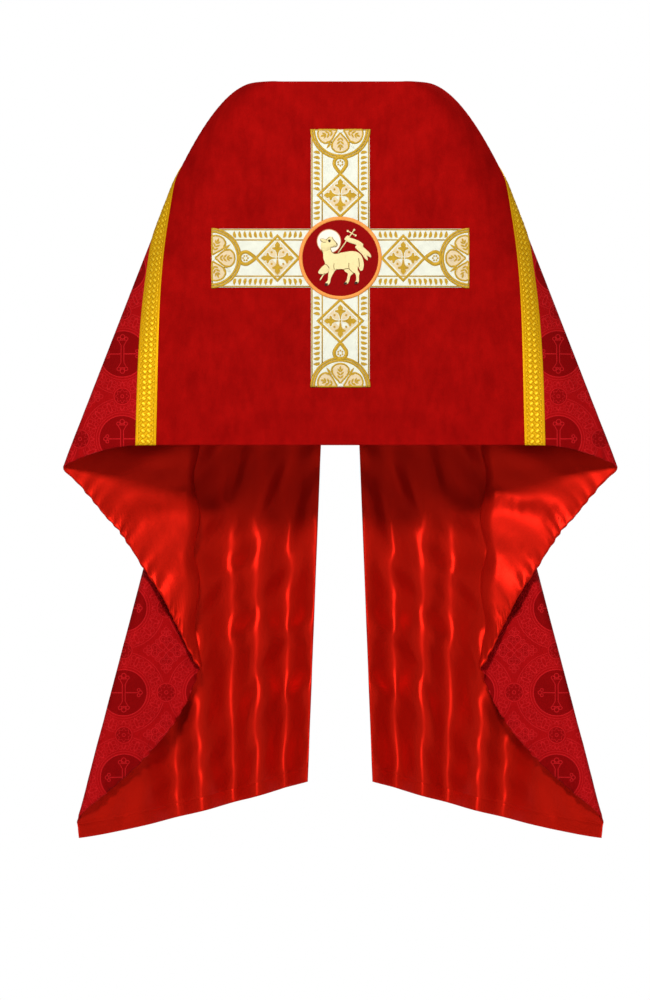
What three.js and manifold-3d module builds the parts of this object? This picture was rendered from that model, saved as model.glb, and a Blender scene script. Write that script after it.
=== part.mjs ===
// A lined humeral veil, the long shoulder cloth of a church vestment set, as it hangs when worn:
// the back panel hangs flat, both ends turn over the shoulders and fall in front in a folded cascade.
// Units are millimetres. +Z is up, the back of the veil faces -Y and the front falls lie at +Y.
// The origin is the middle of the neck edge at the back.
import * as THREE from "three";
import { mergeVertices } from "three/addons/utils/BufferGeometryUtils.js";
import Module from "manifold-3d";

const wasm = await Module();
wasm.setup();

// ---- driving dimensions ----
const WIDTH = 600;                  // neck edge to lower edge of the cloth
const NECK_HALF = 144;              // half the straight neck edge across the back
const SHOULDER_ROUND = 8.98;        // how quickly the ridge leaves the neck edge
const SHOULDER_SLOPE = 0.119;
const SHOULDER_DEPTH = 165;         // below this the ridge is straight
const RIDGE_SLOPE = 0.3868;         // outward run of the straight ridge for each millimetre down
const TIP_DROP = 36;                // how far the lower corner sinks below the lower edge
const RIDGE_ROUND = 20;             // cloth length that the turn over the ridge takes on each side
const RIDGE_PULL = 10;              // how far the turn's control point stands outside the ridge
const TURN_START = 0.9;             // share of the fold at which the outer turn starts
const TURN_ROUND = 12;

const NECK_FORWARD = 75;            // how far forward the ridge lies at the neck
const TIP_FORWARD = 45;             // and at the lower corner
const CHEST_FORWARD = 140;          // how far forward the front falls hang
const CHEST_SLOPE = 0.03;
const BACK_FLAT = 0.7;              // share of the back, centre to ridge, that hangs flat
const FRONT_CURVE = 2.5;

const FRONT_GAP_HALF = 18;          // half the gap between the front edges at the breast
const BREAST_DROP = 225;            // where the front edges start to hang straight
const FOLD_APEX = [240, -458];      // where the inner and outer cascade folds run together
const INNER_FOLD_LOW = [238, -975];
const OUTER_FOLD_LOW = [438, -1215];
const HEM_OUTER = [434, -1252];
const HEM_INNER = [54, -1162];
const HEM_SPREAD = 0.8;
const APEX_HALF = 10;               // half the height over which the folds fan out at the apex
const UPPER_BEND = [0.655, 0.435];  // shares of the run to the inner fold at which a row bends
const FOLD_BEND = [0.12, 0.48];
const LAYER_GAP = 22;               // between the layers of the cascade
const LAYER_RUN = 150;              // depth over which the layers part below the apex
const LAYER_TURN = 0.3;             // share of a row over which it passes from one layer to the next
const PIPE_COUNT = 3;               // soft pipes in the hanging inner half of each fall
const PIPE_DEPTH = 34;
const PIPE_END = 0.8;               // share of the width that the pipes take
const PIPE_GROWTH = 0.7;

const CORE = 1.0;                   // interlining thickness
const LINING = 0.8;
const OUTER = 1.2;
const TRIM = 1.2;
const GAP = 0.3;                    // clearance between sewn layers

const GALLOON_WIDTH = 33.6;
const GALLOON_X = 286.5;            // centre line of the galloon at the level of the neck edge
const GALLOON_SLANT = 0.0575;
const GALLOON_NECK = [75, -72];     // where it meets the neck edge in front
const GALLOON_CHEST = [209, -117];
const GALLOON_RIDGE = [327, -190];  // and where it passes over the ridge
const GALLOON_RUN_OUT = [-90, 24];  // run of its line beyond the neck edge
const GALLOON_LEAN = 1.15;          // upright width of the slanting galloon over its own width

const BAND_WIDTH = 96.7;
const CROSS_REACH = 212.5;
const CROSS_Z = -291.5;
const MEDALLION_R = 68.5;
const RING_WIDTH = 6.5;
const RING_THICK = 2.2;
const FELT = 1;                     // thickness of the ground, the halo and the flat embroidery
const EMBLEM = 1.6;                 // thickness of the padded lamb
const EMBLEM_DRAWN_R = 68.5;        // the medallion radius for which the lamb is drawn

const CLASP_Z = -222;
const CLASP_X = 40;                 // centre of each clasp plate
const CLASP_R = 15;
const CLASP_PLATE = 1.5;
const CLASP_LIFT = 1.6;             // plate above the cloth
const PIN_R = 1.95;
const PIN_CLEARANCE = 0.1;
const PIN_HEAD = 1.2;               // thickness of a pin's head at its rim
const PIN_CROWN = 0.3;
const PIN_INSET = 0.4;              // share of the plate radius by which a pin stands off its centre
const HOOK_THICK = 2;
const HOOK_WIDTH = 8;
const HOOK_NOSE = 3;                // length of the hook below its notch
const STUD_R = 2.4;
const STUD_CLEARANCE = 0.8;

const ROWS = 14;                    // grid of each sheet, neck edge to lower edge
const ROW_POWER = 1.3;
const STEPS = { back: 5, ridge: 2, upper: 4, fold: 3, turn: 2, lower: 5 };
const RIDGE_SPLIT = 0.05;           // half the parted share of the ridge turn
const DISC_SEGMENTS = 24;
const SMALL_SEGMENTS = 12;
const BEYOND = 60;                  // how far a cutter runs past the cloth
const FAR = 700;                    // farther out than any part of the cloth

const COLOURS = {
  velvet: [0xa00d0a, 0.95, 0],
  damask: [0xaa1014, 0.55, 0],
  lining: [0xc01a10, 0.3, 0],
  interlining: [0xd8cfc0, 0.9, 0],
  galloon: [0xe0a010, 0.45, 0.2],
  orphrey: [0xe8e6cf, 0.6, 0],
  scarlet: [0xa5120c, 0.8, 0],
  satin: [0xe07a1c, 0.4, 0],
  cream: [0xf0dca0, 0.6, 0],
  brass: [0xb8902f, 0.35, 1],
};

const group = new THREE.Group();

function material(slot) {
  const [color, roughness, metalness] = COLOURS[slot];
  return new THREE.MeshStandardMaterial({ color, roughness, metalness });
}

function add(name, geometry, slot) {
  const mesh = new THREE.Mesh(geometry, material(slot));
  mesh.name = name;
  group.add(mesh);
  return mesh;
}

// ---- the draped surface ----
const clamp01 = (t) => Math.min(1, Math.max(0, t));
const smooth = (t) => clamp01(t) ** 2 * (3 - 2 * clamp01(t));
const mix = (a, b, t) => a + (b - a) * t;
const tipZ = WIDTH + TIP_DROP;

function ridgeX(z) {
  const down = Math.min(-z, tipZ);
  if (down < SHOULDER_DEPTH) {
    return NECK_HALF + SHOULDER_ROUND * Math.sqrt(down) + SHOULDER_SLOPE * down;
  }
  const start = NECK_HALF + SHOULDER_ROUND * Math.sqrt(SHOULDER_DEPTH) + SHOULDER_SLOPE * SHOULDER_DEPTH;
  return start + RIDGE_SLOPE * (down - SHOULDER_DEPTH);
}

function ridgeY(z) {
  return mix(NECK_FORWARD, TIP_FORWARD, Math.min(-z / tipZ, 1));
}

function backPoint(x, v) {
  const edgeZ = -WIDTH * v - TIP_DROP * v * v;
  const edgeX = ridgeX(edgeZ);
  const turn = clamp01((x / edgeX - BACK_FLAT) / (1 - BACK_FLAT)) ** 2;
  return [x, ridgeY(edgeZ) * turn, mix(-WIDTH * v, edgeZ, turn)];
}

function frontPoint([x, z], layer) {
  const centre = CHEST_FORWARD + CHEST_SLOPE * -z;
  const y = mix(centre, ridgeY(z), clamp01(x / ridgeX(z)) ** FRONT_CURVE);
  const parted = smooth((FOLD_APEX[1] - z) / LAYER_RUN);
  return [x, y + layer * LAYER_GAP * parted, z];
}

// control points of a row on the front, in the XZ plane, for a share v of the width
function frontRow(v) {
  const edgeZ = -WIDTH * v - TIP_DROP * v * v;
  const ridge = [ridgeX(edgeZ), edgeZ];
  const low = clamp01(v * 2 - 1);
  const high = clamp01(v * 2);
  const bend = [mix(FRONT_GAP_HALF, FOLD_APEX[0], high), mix(-BREAST_DROP, FOLD_APEX[1], high)];
  const inner = [mix(bend[0], INNER_FOLD_LOW[0], low), mix(bend[1] + APEX_HALF, INNER_FOLD_LOW[1], low)];
  const outer = [mix(bend[0], OUTER_FOLD_LOW[0], low), mix(bend[1] - APEX_HALF, OUTER_FOLD_LOW[1], low)];
  const spread = (1 - v) ** HEM_SPREAD;
  const hem = [mix(HEM_OUTER[0], HEM_INNER[0], spread), mix(HEM_OUTER[1], HEM_INNER[1], 1 - v)];
  const control = (a, b, share) => [mix(a[0], b[0], share[0]), mix(a[1], b[1], share[1])];
  return {
    ridge, inner, outer, hem,
    upperControl: control(ridge, inner, UPPER_BEND),
    foldControl: control(inner, outer, FOLD_BEND),
  };
}

function bezier(a, b, c, t) {
  return a.map((value, k) => (1 - t) ** 2 * value + 2 * t * (1 - t) * b[k] + t * t * c[k]);
}

function pipe(v, t) {
  const wave = (1 - Math.cos((2 * Math.PI * PIPE_COUNT * v) / PIPE_END)) / 2;
  return v < PIPE_END ? PIPE_DEPTH * wave * t ** PIPE_GROWTH : 0;
}

// one row from the centre back to the hem, as named stretches
function row(v) {
  const points = frontRow(v);
  const backEnd = points.ridge[0] - RIDGE_ROUND * 0.8;
  const upper = (t) => {
    const layer = smooth((t - 1) / LAYER_TURN + 0.5);
    return frontPoint(bezier(points.ridge, points.upperControl, points.inner, t), layer);
  };
  const upperLength = Math.hypot(points.inner[0] - points.ridge[0], points.inner[1] - points.ridge[1]);
  const upperStart = RIDGE_ROUND / upperLength;
  const crest = backPoint(points.ridge[0], v);
  crest[0] += RIDGE_PULL;
  const lowerLength = Math.hypot(points.hem[0] - points.outer[0], points.hem[1] - points.outer[1]);
  const lowerStart = TURN_ROUND / lowerLength;
  const fold = (t) => {
    const layer = smooth(t / LAYER_TURN + 0.5);
    return frontPoint(bezier(points.inner, points.foldControl, points.outer, t), layer);
  };
  const lower = (t) => {
    const flat = [mix(points.outer[0], points.hem[0], t), mix(points.outer[1], points.hem[1], t)];
    const point = frontPoint(flat, 2);
    point[1] += pipe(v, t);
    return point;
  };
  const corner = frontPoint(points.outer, 1.5);
  return {
    back: (t) => backPoint(backEnd * t, v),
    ridge: (t) => bezier(backPoint(backEnd, v), crest, upper(upperStart), t),
    upper: (t) => upper(mix(upperStart, 1, t)),
    fold: (t) => fold(TURN_START * t),
    turn: (t) => bezier(fold(TURN_START), corner, lower(lowerStart), t),
    lower: (t) => lower(mix(lowerStart, 1, t)),
  };
}

function stretch(list, line, from, to, steps, skipFirst) {
  for (let i = skipFirst ? 1 : 0; i <= steps; i += 1) {
    list.push(new THREE.Vector3(...line(mix(from, to, i / steps))));
  }
}

function rowsOf(build) {
  const rows = [];
  for (let j = 0; j <= ROWS; j += 1) {
    const points = [];
    build(points, row((j / ROWS) ** ROW_POWER));
    rows.push(points);
  }
  return rows;
}

const backRows = rowsOf((points, line) => {
  const half = [];
  stretch(half, line.back, 0, 1, STEPS.back, false);
  stretch(half, line.ridge, 0, 0.5 - RIDGE_SPLIT, STEPS.ridge, true);
  for (const point of half.slice(1).reverse()) {
    points.push(new THREE.Vector3(-point.x, point.y, point.z));
  }
  points.push(...half);
});

const fallRows = rowsOf((points, line) => {
  stretch(points, line.ridge, 0.5 + RIDGE_SPLIT, 1, STEPS.ridge, false);
  stretch(points, line.upper, 0, 1, STEPS.upper, true);
  stretch(points, line.fold, 0, 1, STEPS.fold, true);
  stretch(points, line.turn, 0, 1, STEPS.turn, true);
  stretch(points, line.lower, 0, 1, STEPS.lower, true);
});

// ---- sheets as thin closed solids on that surface ----
function normalsOf(rows) {
  return rows.map((points, j) => points.map((_, i) => {
    const along = points[Math.min(i + 1, points.length - 1)].clone().sub(points[Math.max(i - 1, 0)]);
    const across = rows[Math.min(j + 1, rows.length - 1)][i].clone().sub(rows[Math.max(j - 1, 0)][i]);
    return across.cross(along).normalize();
  }));
}

function sheet(rows, inside, outside) {
  const normals = normalsOf(rows);
  const columns = rows[0].length;
  const positions = [];
  for (const offset of [outside, inside]) {
    rows.forEach((points, j) => points.forEach((point, i) => {
      const moved = point.clone().addScaledVector(normals[j][i], offset);
      positions.push(moved.x, moved.y, moved.z);
    }));
  }
  const count = rows.length * columns;
  const at = (j, i, side) => side * count + j * columns + i;
  const faces = [];
  const quad = (a, b, c, d) => faces.push(a, b, c, a, c, d);
  for (let j = 0; j + 1 < rows.length; j += 1) {
    for (let i = 0; i + 1 < columns; i += 1) {
      quad(at(j, i, 0), at(j + 1, i, 0), at(j + 1, i + 1, 0), at(j, i + 1, 0));
      quad(at(j, i, 1), at(j, i + 1, 1), at(j + 1, i + 1, 1), at(j + 1, i, 1));
    }
    quad(at(j, 0, 0), at(j, 0, 1), at(j + 1, 0, 1), at(j + 1, 0, 0));
    quad(at(j, columns - 1, 0), at(j + 1, columns - 1, 0), at(j + 1, columns - 1, 1), at(j, columns - 1, 1));
  }
  for (let i = 0; i + 1 < columns; i += 1) {
    const last = rows.length - 1;
    quad(at(0, i, 0), at(0, i + 1, 0), at(0, i + 1, 1), at(0, i, 1));
    quad(at(last, i, 0), at(last, i, 1), at(last, i + 1, 1), at(last, i + 1, 0));
  }
  const geometry = new THREE.BufferGeometry();
  geometry.setAttribute("position", new THREE.Float32BufferAttribute(positions, 3));
  geometry.setIndex(faces);
  return geometry;
}

function bare(geometry) {
  const copy = geometry.clone();
  copy.deleteAttribute("normal");
  copy.deleteAttribute("uv");
  return mergeVertices(copy, 1e-4);
}

function mirrored(geometry) {
  const copy = bare(geometry);
  copy.scale(-1, 1, 1);
  const index = copy.getIndex();
  for (let i = 0; i < index.count; i += 3) {
    const swap = index.getX(i + 1);
    index.setX(i + 1, index.getX(i + 2));
    index.setX(i + 2, swap);
  }
  return copy;
}

// ---- joins and cuts ----
function solid(geometry) {
  const merged = bare(geometry);
  return new wasm.Manifold(new wasm.Mesh({
    numProp: 3,
    vertProperties: new Float32Array(merged.getAttribute("position").array),
    triVerts: new Uint32Array(merged.getIndex().array),
  }));
}

function geometryOf(body) {
  const mesh = body.getMesh();
  const geometry = new THREE.BufferGeometry();
  geometry.setAttribute("position", new THREE.BufferAttribute(new Float32Array(mesh.vertProperties), 3));
  geometry.setIndex(new THREE.BufferAttribute(new Uint32Array(mesh.triVerts), 1));
  return geometry;
}

function shapeOf(points) {
  return new THREE.Shape(points.map(([x, z]) => new THREE.Vector2(x, z)));
}

// a plate whose outline lies in the XZ plane; it runs from y = face to y = face - thickness
function plate(shape, face, thickness, curveSegments = SMALL_SEGMENTS) {
  const settings = { depth: thickness, bevelEnabled: false, curveSegments };
  const geometry = new THREE.ExtrudeGeometry(shape, settings);
  geometry.rotateX(Math.PI / 2);
  geometry.translate(0, face, 0);
  return geometry;
}

function cutter(points) {
  return solid(plate(shapeOf(points), FAR, 2 * FAR));
}

function galloonX(z) {
  return GALLOON_X - GALLOON_SLANT * z;
}

const HIGH = BEYOND;
const LOW = -tipZ - BEYOND;

// the strip of the back between two offsets from the galloon's centre line
function backStrip(from, to) {
  return cutter([
    [galloonX(LOW) + from, LOW],
    [Math.min(galloonX(LOW) + to, FAR), LOW],
    [Math.min(galloonX(HIGH) + to, FAR), HIGH],
    [galloonX(HIGH) + from, HIGH],
  ]);
}

// the strip of the chest between two offsets above the galloon's line in front
function chestStrip(from, to) {
  const end = GALLOON_NECK.map((value, k) => value + GALLOON_RUN_OUT[k]);
  const line = [GALLOON_RIDGE, GALLOON_CHEST, GALLOON_NECK, end];
  const low = line.map(([x, z]) => [x, z + from]);
  const high = line.map(([x, z]) => [x, z + to]);
  return cutter([...low.reverse(), ...high]);
}

const coreTop = CORE / 2;
const outerLow = coreTop + GAP;
const outerTop = outerLow + OUTER;
const trimLow = outerTop + GAP;
const trimTop = trimLow + TRIM;
const liningTop = -coreTop - GAP;

function addBothSides(name, geometry, slot) {
  add(`right_${name}`, geometry, slot);
  add(`left_${name}`, mirrored(geometry), slot);
}

// back: panel, wings, core, lining and galloons
const backOuter = solid(sheet(backRows, outerLow, outerTop));
const backTrim = solid(sheet(backRows, trimLow, trimTop));
const half = GALLOON_WIDTH / 2;
const wing = backOuter.intersect(backStrip(GAP / 2, FAR));
const panelCut = backStrip(-GAP / 2, FAR);
const mirroredPanelCut = solid(mirrored(geometryOf(panelCut)));
add("velvet_back_panel", geometryOf(backOuter.subtract(panelCut).subtract(mirroredPanelCut)), "velvet");
addBothSides("damask_back_wing", geometryOf(wing), "damask");
addBothSides("galloon_back", geometryOf(backTrim.intersect(backStrip(-half, half))), "galloon");
add("back_interlining", sheet(backRows, -coreTop, coreTop), "interlining");
add("back_lining", sheet(backRows, liningTop - LINING, liningTop), "lining");

// front falls: velvet over the shoulder, galloon, damask, core and lining
const seamHalf = half * GALLOON_LEAN;
const fallOuter = solid(sheet(fallRows, outerLow, outerTop));
const fallTrim = solid(sheet(fallRows, trimLow, trimTop));
const shoulder = fallOuter.intersect(chestStrip(GAP / 2, FAR));
addBothSides("velvet_shoulder_front", geometryOf(shoulder), "velvet");
addBothSides("damask_fall", geometryOf(fallOuter.subtract(chestStrip(-GAP / 2, FAR))), "damask");
addBothSides("galloon_front", geometryOf(fallTrim.intersect(chestStrip(-seamHalf, seamHalf))), "galloon");
addBothSides("fall_interlining", sheet(fallRows, -coreTop, coreTop), "interlining");
addBothSides("fall_lining", sheet(fallRows, liningTop - LINING, liningTop), "lining");

// ---- the orphrey cross and its medallion, flat on the back panel ----
const orphreyFace = -trimLow;
const emblemFace = -trimTop - GAP;

function bar(x0, x1, z0, z1) {
  return plate(shapeOf([[x0, z0], [x1, z0], [x1, z1], [x0, z1]]), orphreyFace, TRIM);
}

const bandHalf = BAND_WIDTH / 2;
add("orphrey_upright", bar(-bandHalf, bandHalf, CROSS_Z - CROSS_REACH, CROSS_Z + CROSS_REACH), "orphrey");
const arm = bar(bandHalf + GAP, CROSS_REACH, CROSS_Z - bandHalf, CROSS_Z + bandHalf);
addBothSides("orphrey_arm", arm, "orphrey");

function disc(radius, x, z) {
  const shape = new THREE.Shape();
  shape.absarc(x, z, radius, 0, 2 * Math.PI, false);
  return shape;
}

const groundR = MEDALLION_R - RING_WIDTH;
add("medallion_ground", plate(disc(groundR - GAP, 0, CROSS_Z), emblemFace, FELT, DISC_SEGMENTS), "scarlet");
const ringShape = disc(MEDALLION_R, 0, CROSS_Z);
ringShape.holes.push(disc(groundR, 0, CROSS_Z));
add("medallion_ring", plate(ringShape, emblemFace, RING_THICK, DISC_SEGMENTS), "satin");

// the embroidered lamb with halo and banner, each drawn about the cross centre
const emblemScale = MEDALLION_R / EMBLEM_DRAWN_R;
const lambFace = emblemFace - FELT - GAP;
const headFace = lambFace - FELT - GAP;
const bannerFace = lambFace - EMBLEM - GAP;

function aboutCross(points) {
  return points.map(([x, z]) => [x * emblemScale, z * emblemScale + CROSS_Z]);
}

function around(points) {
  const closed = aboutCross([...points, points[0]]).map(([x, z]) => new THREE.Vector2(x, z));
  return new THREE.Shape(new THREE.SplineCurve(closed).getPoints(points.length * 3).slice(0, -1));
}

const LAMB = [
  [-19, 4], [-12, 7], [-6, 2], [2, 4], [14, 6], [27, 7], [36, 3], [38, -8], [37, -17], [32, -20],
  [30, -32], [31, -42], [24, -43], [23, -30], [16, -24], [12, -30], [13, -42], [6, -43], [5, -28],
  [-8, -25], [-17, -28], [-19, -42], [-26, -42], [-23, -26], [-31, -26], [-33, -37], [-38, -34],
  [-36, -20], [-26, -16], [-24, -4],
];
const HALO_R = 20;
const HALO_CENTRE = [-18, 26.5];
const HEAD = [
  [-29, 26], [-24, 36], [-17, 38], [-10, 33], [-4, 24], [-8, 21], [-16, 19], [-22, 15], [-28, 17],
];
const STAFF = [[-3, 9], [-1, 8], [22, 42], [20, 43]];
const BANNER = [
  [16, 27], [25, 25], [36, 23], [43, 14], [52, 11], [47, 5], [39, 8], [43, 1], [35, 2], [27, 10],
  [12, 13], [10, 17],
];

const [haloX, haloZ] = aboutCross([HALO_CENTRE])[0];
add("lamb", plate(around(LAMB), lambFace, EMBLEM), "cream");
add("lamb_halo", plate(disc(HALO_R * emblemScale, haloX, haloZ), lambFace, FELT), "satin");
add("lamb_head", plate(around(HEAD), headFace, FELT), "cream");
add("banner_staff", plate(shapeOf(aboutCross(STAFF)), lambFace, FELT), "satin");
add("lamb_banner", plate(around(BANNER), bannerFace, FELT), "cream");

// ---- breast clasp: two plates, a hook that swings on a rivet, and a stud ----
const pivotX = -CLASP_X + CLASP_R * PIN_INSET;
const studX = CLASP_X - CLASP_R * PIN_INSET;
const hookReach = studX - pivotX;
const hookNotch = STUD_R + STUD_CLEARANCE;
const hookBottom = CLASP_Z - hookReach - hookNotch - HOOK_NOSE;

// the plates and the hanging hook all stand in front of the cloth below them
const clothUnder = Math.max(frontPoint([-pivotX, CLASP_Z], 0)[1], frontPoint([-pivotX, hookBottom], 0)[1]);
const plateBack = clothUnder + outerTop + CLASP_LIFT;

function quatrefoil(x) {
  const shape = new THREE.Shape();
  const reach = CLASP_R * 0.5;
  for (let k = 0; k < 4; k += 1) {
    const angle = (k * Math.PI) / 2;
    const cx = x + reach * Math.cos(angle);
    const cz = CLASP_Z + reach * Math.sin(angle);
    shape.absarc(cx, cz, CLASP_R - reach, angle - Math.PI / 2, angle + Math.PI / 2, false);
  }
  return shape;
}

const plateFront = plateBack + CLASP_PLATE;
add("right_clasp_plate", plate(quatrefoil(CLASP_X), plateFront, CLASP_PLATE, 8), "brass");
add("left_clasp_plate", plate(quatrefoil(-CLASP_X), plateFront, CLASP_PLATE, 8), "brass");

// a headed pin standing on a plate: shank of the given radius, head in front of the hook
function headed(shank, head, x) {
  const start = plateFront + GAP;
  const neck = HOOK_THICK + 2 * GAP;
  const rim = neck + PIN_HEAD;
  const profile = [[0, 0], [shank, 0], [shank, neck], [head, neck], [head * 0.8, rim], [0, rim + PIN_CROWN]];
  const outline = profile.map(([r, y]) => new THREE.Vector2(r, y));
  const geometry = new THREE.LatheGeometry(outline, DISC_SEGMENTS);
  geometry.translate(x, start, CLASP_Z);
  return geometry;
}

add("clasp_rivet", headed(PIN_R, PIN_R * 2, pivotX), "brass");
add("clasp_stud", headed(STUD_R, STUD_R * 1.8, studX), "brass");

const HOOK_LAP = 0.2;               // angle by which the hook's round head passes a half turn
const NOTCH_LAP = 0.05;

// the hook hangs from the rivet; its notch opens towards the stud's side
function hookShape() {
  const side = HOOK_WIDTH / 2;
  const notch = hookNotch;
  const tip = CLASP_Z - hookReach;
  const shape = new THREE.Shape();
  shape.absarc(pivotX, CLASP_Z, side, -HOOK_LAP, Math.PI + HOOK_LAP, false);
  shape.lineTo(pivotX - side, tip - notch);
  shape.lineTo(pivotX - side * 0.5, hookBottom);
  shape.lineTo(pivotX + side * 1.2, hookBottom);
  shape.lineTo(pivotX + side * 1.4, tip - notch);
  shape.lineTo(pivotX + side, tip - notch);
  shape.absarc(pivotX, tip, notch, -Math.PI / 2 + NOTCH_LAP, Math.PI / 2 - NOTCH_LAP, true);
  shape.lineTo(pivotX + side, tip + notch);
  const hole = new THREE.Path();
  hole.absarc(pivotX, CLASP_Z, PIN_R + PIN_CLEARANCE, 0, 2 * Math.PI, true);
  shape.holes.push(hole);
  return shape;
}
add("clasp_hook", plate(hookShape(), plateFront + 2 * GAP + HOOK_THICK, HOOK_THICK), "brass");

export default group;
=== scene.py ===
"""A humeral veil as worn: velvet back, damask wings, satin lining, woven cross and lamb medallion."""

import math

import bpy
import numpy as np
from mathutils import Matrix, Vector
from mathutils.geometry import tessellate_polygon


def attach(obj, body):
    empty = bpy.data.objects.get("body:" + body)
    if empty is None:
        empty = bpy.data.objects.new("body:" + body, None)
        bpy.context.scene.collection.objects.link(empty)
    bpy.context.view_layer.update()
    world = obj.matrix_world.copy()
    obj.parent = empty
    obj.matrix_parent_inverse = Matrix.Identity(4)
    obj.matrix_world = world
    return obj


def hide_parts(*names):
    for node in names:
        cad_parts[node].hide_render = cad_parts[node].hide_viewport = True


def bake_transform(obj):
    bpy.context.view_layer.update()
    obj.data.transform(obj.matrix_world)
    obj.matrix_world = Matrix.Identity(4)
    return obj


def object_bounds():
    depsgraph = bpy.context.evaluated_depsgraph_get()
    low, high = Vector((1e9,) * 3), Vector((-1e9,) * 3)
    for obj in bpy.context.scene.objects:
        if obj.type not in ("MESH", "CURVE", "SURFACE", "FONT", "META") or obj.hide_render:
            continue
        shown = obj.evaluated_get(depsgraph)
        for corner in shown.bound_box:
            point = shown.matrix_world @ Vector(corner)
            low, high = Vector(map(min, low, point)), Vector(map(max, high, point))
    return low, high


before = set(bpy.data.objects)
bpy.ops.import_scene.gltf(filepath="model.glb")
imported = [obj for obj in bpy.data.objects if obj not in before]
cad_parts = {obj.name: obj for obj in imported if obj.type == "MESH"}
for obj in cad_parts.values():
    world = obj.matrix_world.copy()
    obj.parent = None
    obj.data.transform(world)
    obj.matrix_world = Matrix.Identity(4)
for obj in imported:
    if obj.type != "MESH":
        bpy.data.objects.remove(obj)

CAD_BOX = [list(corner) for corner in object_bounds()]

bl_info = {
    "name": "Humeral veil",
    "version": (1, 0, 0),
    "blender": (4, 5, 0),
    "location": "3D View > Sidebar > Veil",
    "description": "Lined shoulder veil with a woven cross, galloons and a lamb medallion",
    "category": "Add Mesh",
}

MM = 0.001

# ---- the draped shape, in metres: the back hangs at -Y, the front falls at +Y ----
NECK_HALF = 0.144
SHOULDER_ROUND = 0.284
SHOULDER_SLOPE = 0.119
SHOULDER_DEPTH = 0.165
RIDGE_SLOPE = 0.3868
TIP_DROP = 0.036
RIDGE_ROUND = 0.020
RIDGE_PULL = 0.010
TURN_START = 0.9
TURN_ROUND = 0.012
NECK_FORWARD = 0.075
TIP_FORWARD = 0.045
CHEST_FORWARD = 0.140
CHEST_SLOPE = 0.03
BACK_FLAT = 0.7
FRONT_CURVE = 2.5
FRONT_GAP_HALF = 0.018
BREAST_DROP = 0.225
FOLD_APEX = np.array([0.240, -0.458])
INNER_FOLD_LOW = np.array([0.238, -0.975])
OUTER_FOLD_LOW = np.array([0.438, -1.215])
HEM_OUTER = np.array([0.434, -1.252])
HEM_INNER = np.array([0.054, -1.162])
HEM_SPREAD = 0.8
LAYER_GAP = 0.022
LAYER_RUN = 0.150
PIPE_COUNT = 3
PIPE_DEPTH = 0.034
PIPE_END = 0.8
APEX_HALF = np.array([0, 0.010])
UPPER_BEND = np.array([0.655, 0.435])
FOLD_BEND = np.array([0.12, 0.48])

# ---- layers, measured outwards from the middle of the interlining ----
CORE = (-0.0005, 0.0005)
OUTER = (0.0008, 0.0020)
TRIM = (0.0023, 0.0035)
LINING = (-0.0016, -0.0008)
EDGE_MIDDLE = 0.0002
BAND_FACE = -0.0023
EMBLEM_FACE = -0.0038
BAND_THICK = 0.0012

ROW_POWER = 1.3
SEAM_HIGH = 0.306           # distance of the seam from the centre back along the neck edge
SEAM_RUN = 0.015
SEAM_GAP = 0.0002
CROSS_Z = -0.2915
CROSS_REACH = 0.2125


def smooth(t):
    t = np.clip(t, 0, 1)
    return t * t * (3 - 2 * t)


def mix(a, b, t):
    return a + (b - a) * t


class VeilSizes(bpy.types.PropertyGroup):
    """Sizes that a user would change."""

    depth: bpy.props.FloatProperty(
        name="Depth", description="Neck edge to lower edge", default=0.600, unit="LENGTH")
    galloon_width: bpy.props.FloatProperty(
        name="Galloon width", description="Width of the gold braid", default=0.0336, unit="LENGTH")
    band_width: bpy.props.FloatProperty(
        name="Band width", description="Width of the woven cross band", default=0.0967, unit="LENGTH")
    medallion_radius: bpy.props.FloatProperty(
        name="Medallion radius", description="Outer radius of the medallion", default=0.0685, unit="LENGTH")
    ring_width: bpy.props.FloatProperty(
        name="Ring width", description="Width of the satin-stitched ring", default=0.0065, unit="LENGTH")
    cloth_step: bpy.props.FloatProperty(
        name="Cloth step", description="Spacing of the points in a sheet", default=0.0056, unit="LENGTH")
    braid_step: bpy.props.FloatProperty(
        name="Braid step", description="Spacing of the points in a galloon", default=0.0013, unit="LENGTH")


def colour(name, value, note):
    return bpy.props.FloatVectorProperty(
        name=name, description=note, default=value, subtype="COLOR", size=3, min=0, max=1)


class VeilColours(bpy.types.PropertyGroup):
    """Colours of the cloths and threads, as linear values."""

    velvet: colour("Velvet", (0.232, 0.0022, 0.0018), "Back panel")
    velvet_deep: colour("Velvet shade", (0.150, 0.0013, 0.0012), "Back panel where the pile is brushed down")
    damask: colour("Damask", (0.245, 0.0024, 0.0030), "Figured wings")
    damask_deep: colour("Damask ground", (0.150, 0.0013, 0.0016), "Duller ground inside the circles")
    damask_line: colour("Damask line", (0.37, 0.0075, 0.0095), "Lines of the figure")
    satin: colour("Lining", (0.36, 0.0058, 0.0022), "Satin lining")
    canvas: colour("Interlining", (0.36, 0.32, 0.25), "Interlining canvas")
    gold: colour("Galloon", (0.60, 0.33, 0.004), "Galloon braid")
    # painted shade and painted highlight: the galloon's gold darkened between and under the strands and
    # lightened on their tops, standing in for light on the braid's relief
    gold_painted_shade: colour("Galloon shade", (0.30, 0.125, 0.0012), "Between the strands")
    gold_painted_highlight: colour("Galloon light", (0.80, 0.56, 0.035), "Tops of the strands")
    ivory: colour("Band ground", (0.56, 0.565, 0.475), "Ground of the cross band")
    blush: colour("Band field", (0.53, 0.42, 0.255), "Inside of the diamonds")
    thread: colour("Gold thread", (0.40, 0.235, 0.0150), "Figure of the cross band")
    scarlet: colour("Medallion ground", (0.20, 0.0018, 0.0020), "Ground behind the lamb")
    orange: colour("Ring", (0.62, 0.225, 0.045), "Satin-stitched ring")
    cream: colour("Lamb", (0.61, 0.51, 0.25), "Embroidered lamb")
    halo: colour("Halo", (0.64, 0.59, 0.50), "Halo behind the lamb's head")
    outline: colour("Outline", (0.16, 0.095, 0.025), "Outlines on the lamb")
    brass: colour("Brass", (0.62, 0.42, 0.14), "Breast clasp")


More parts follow.
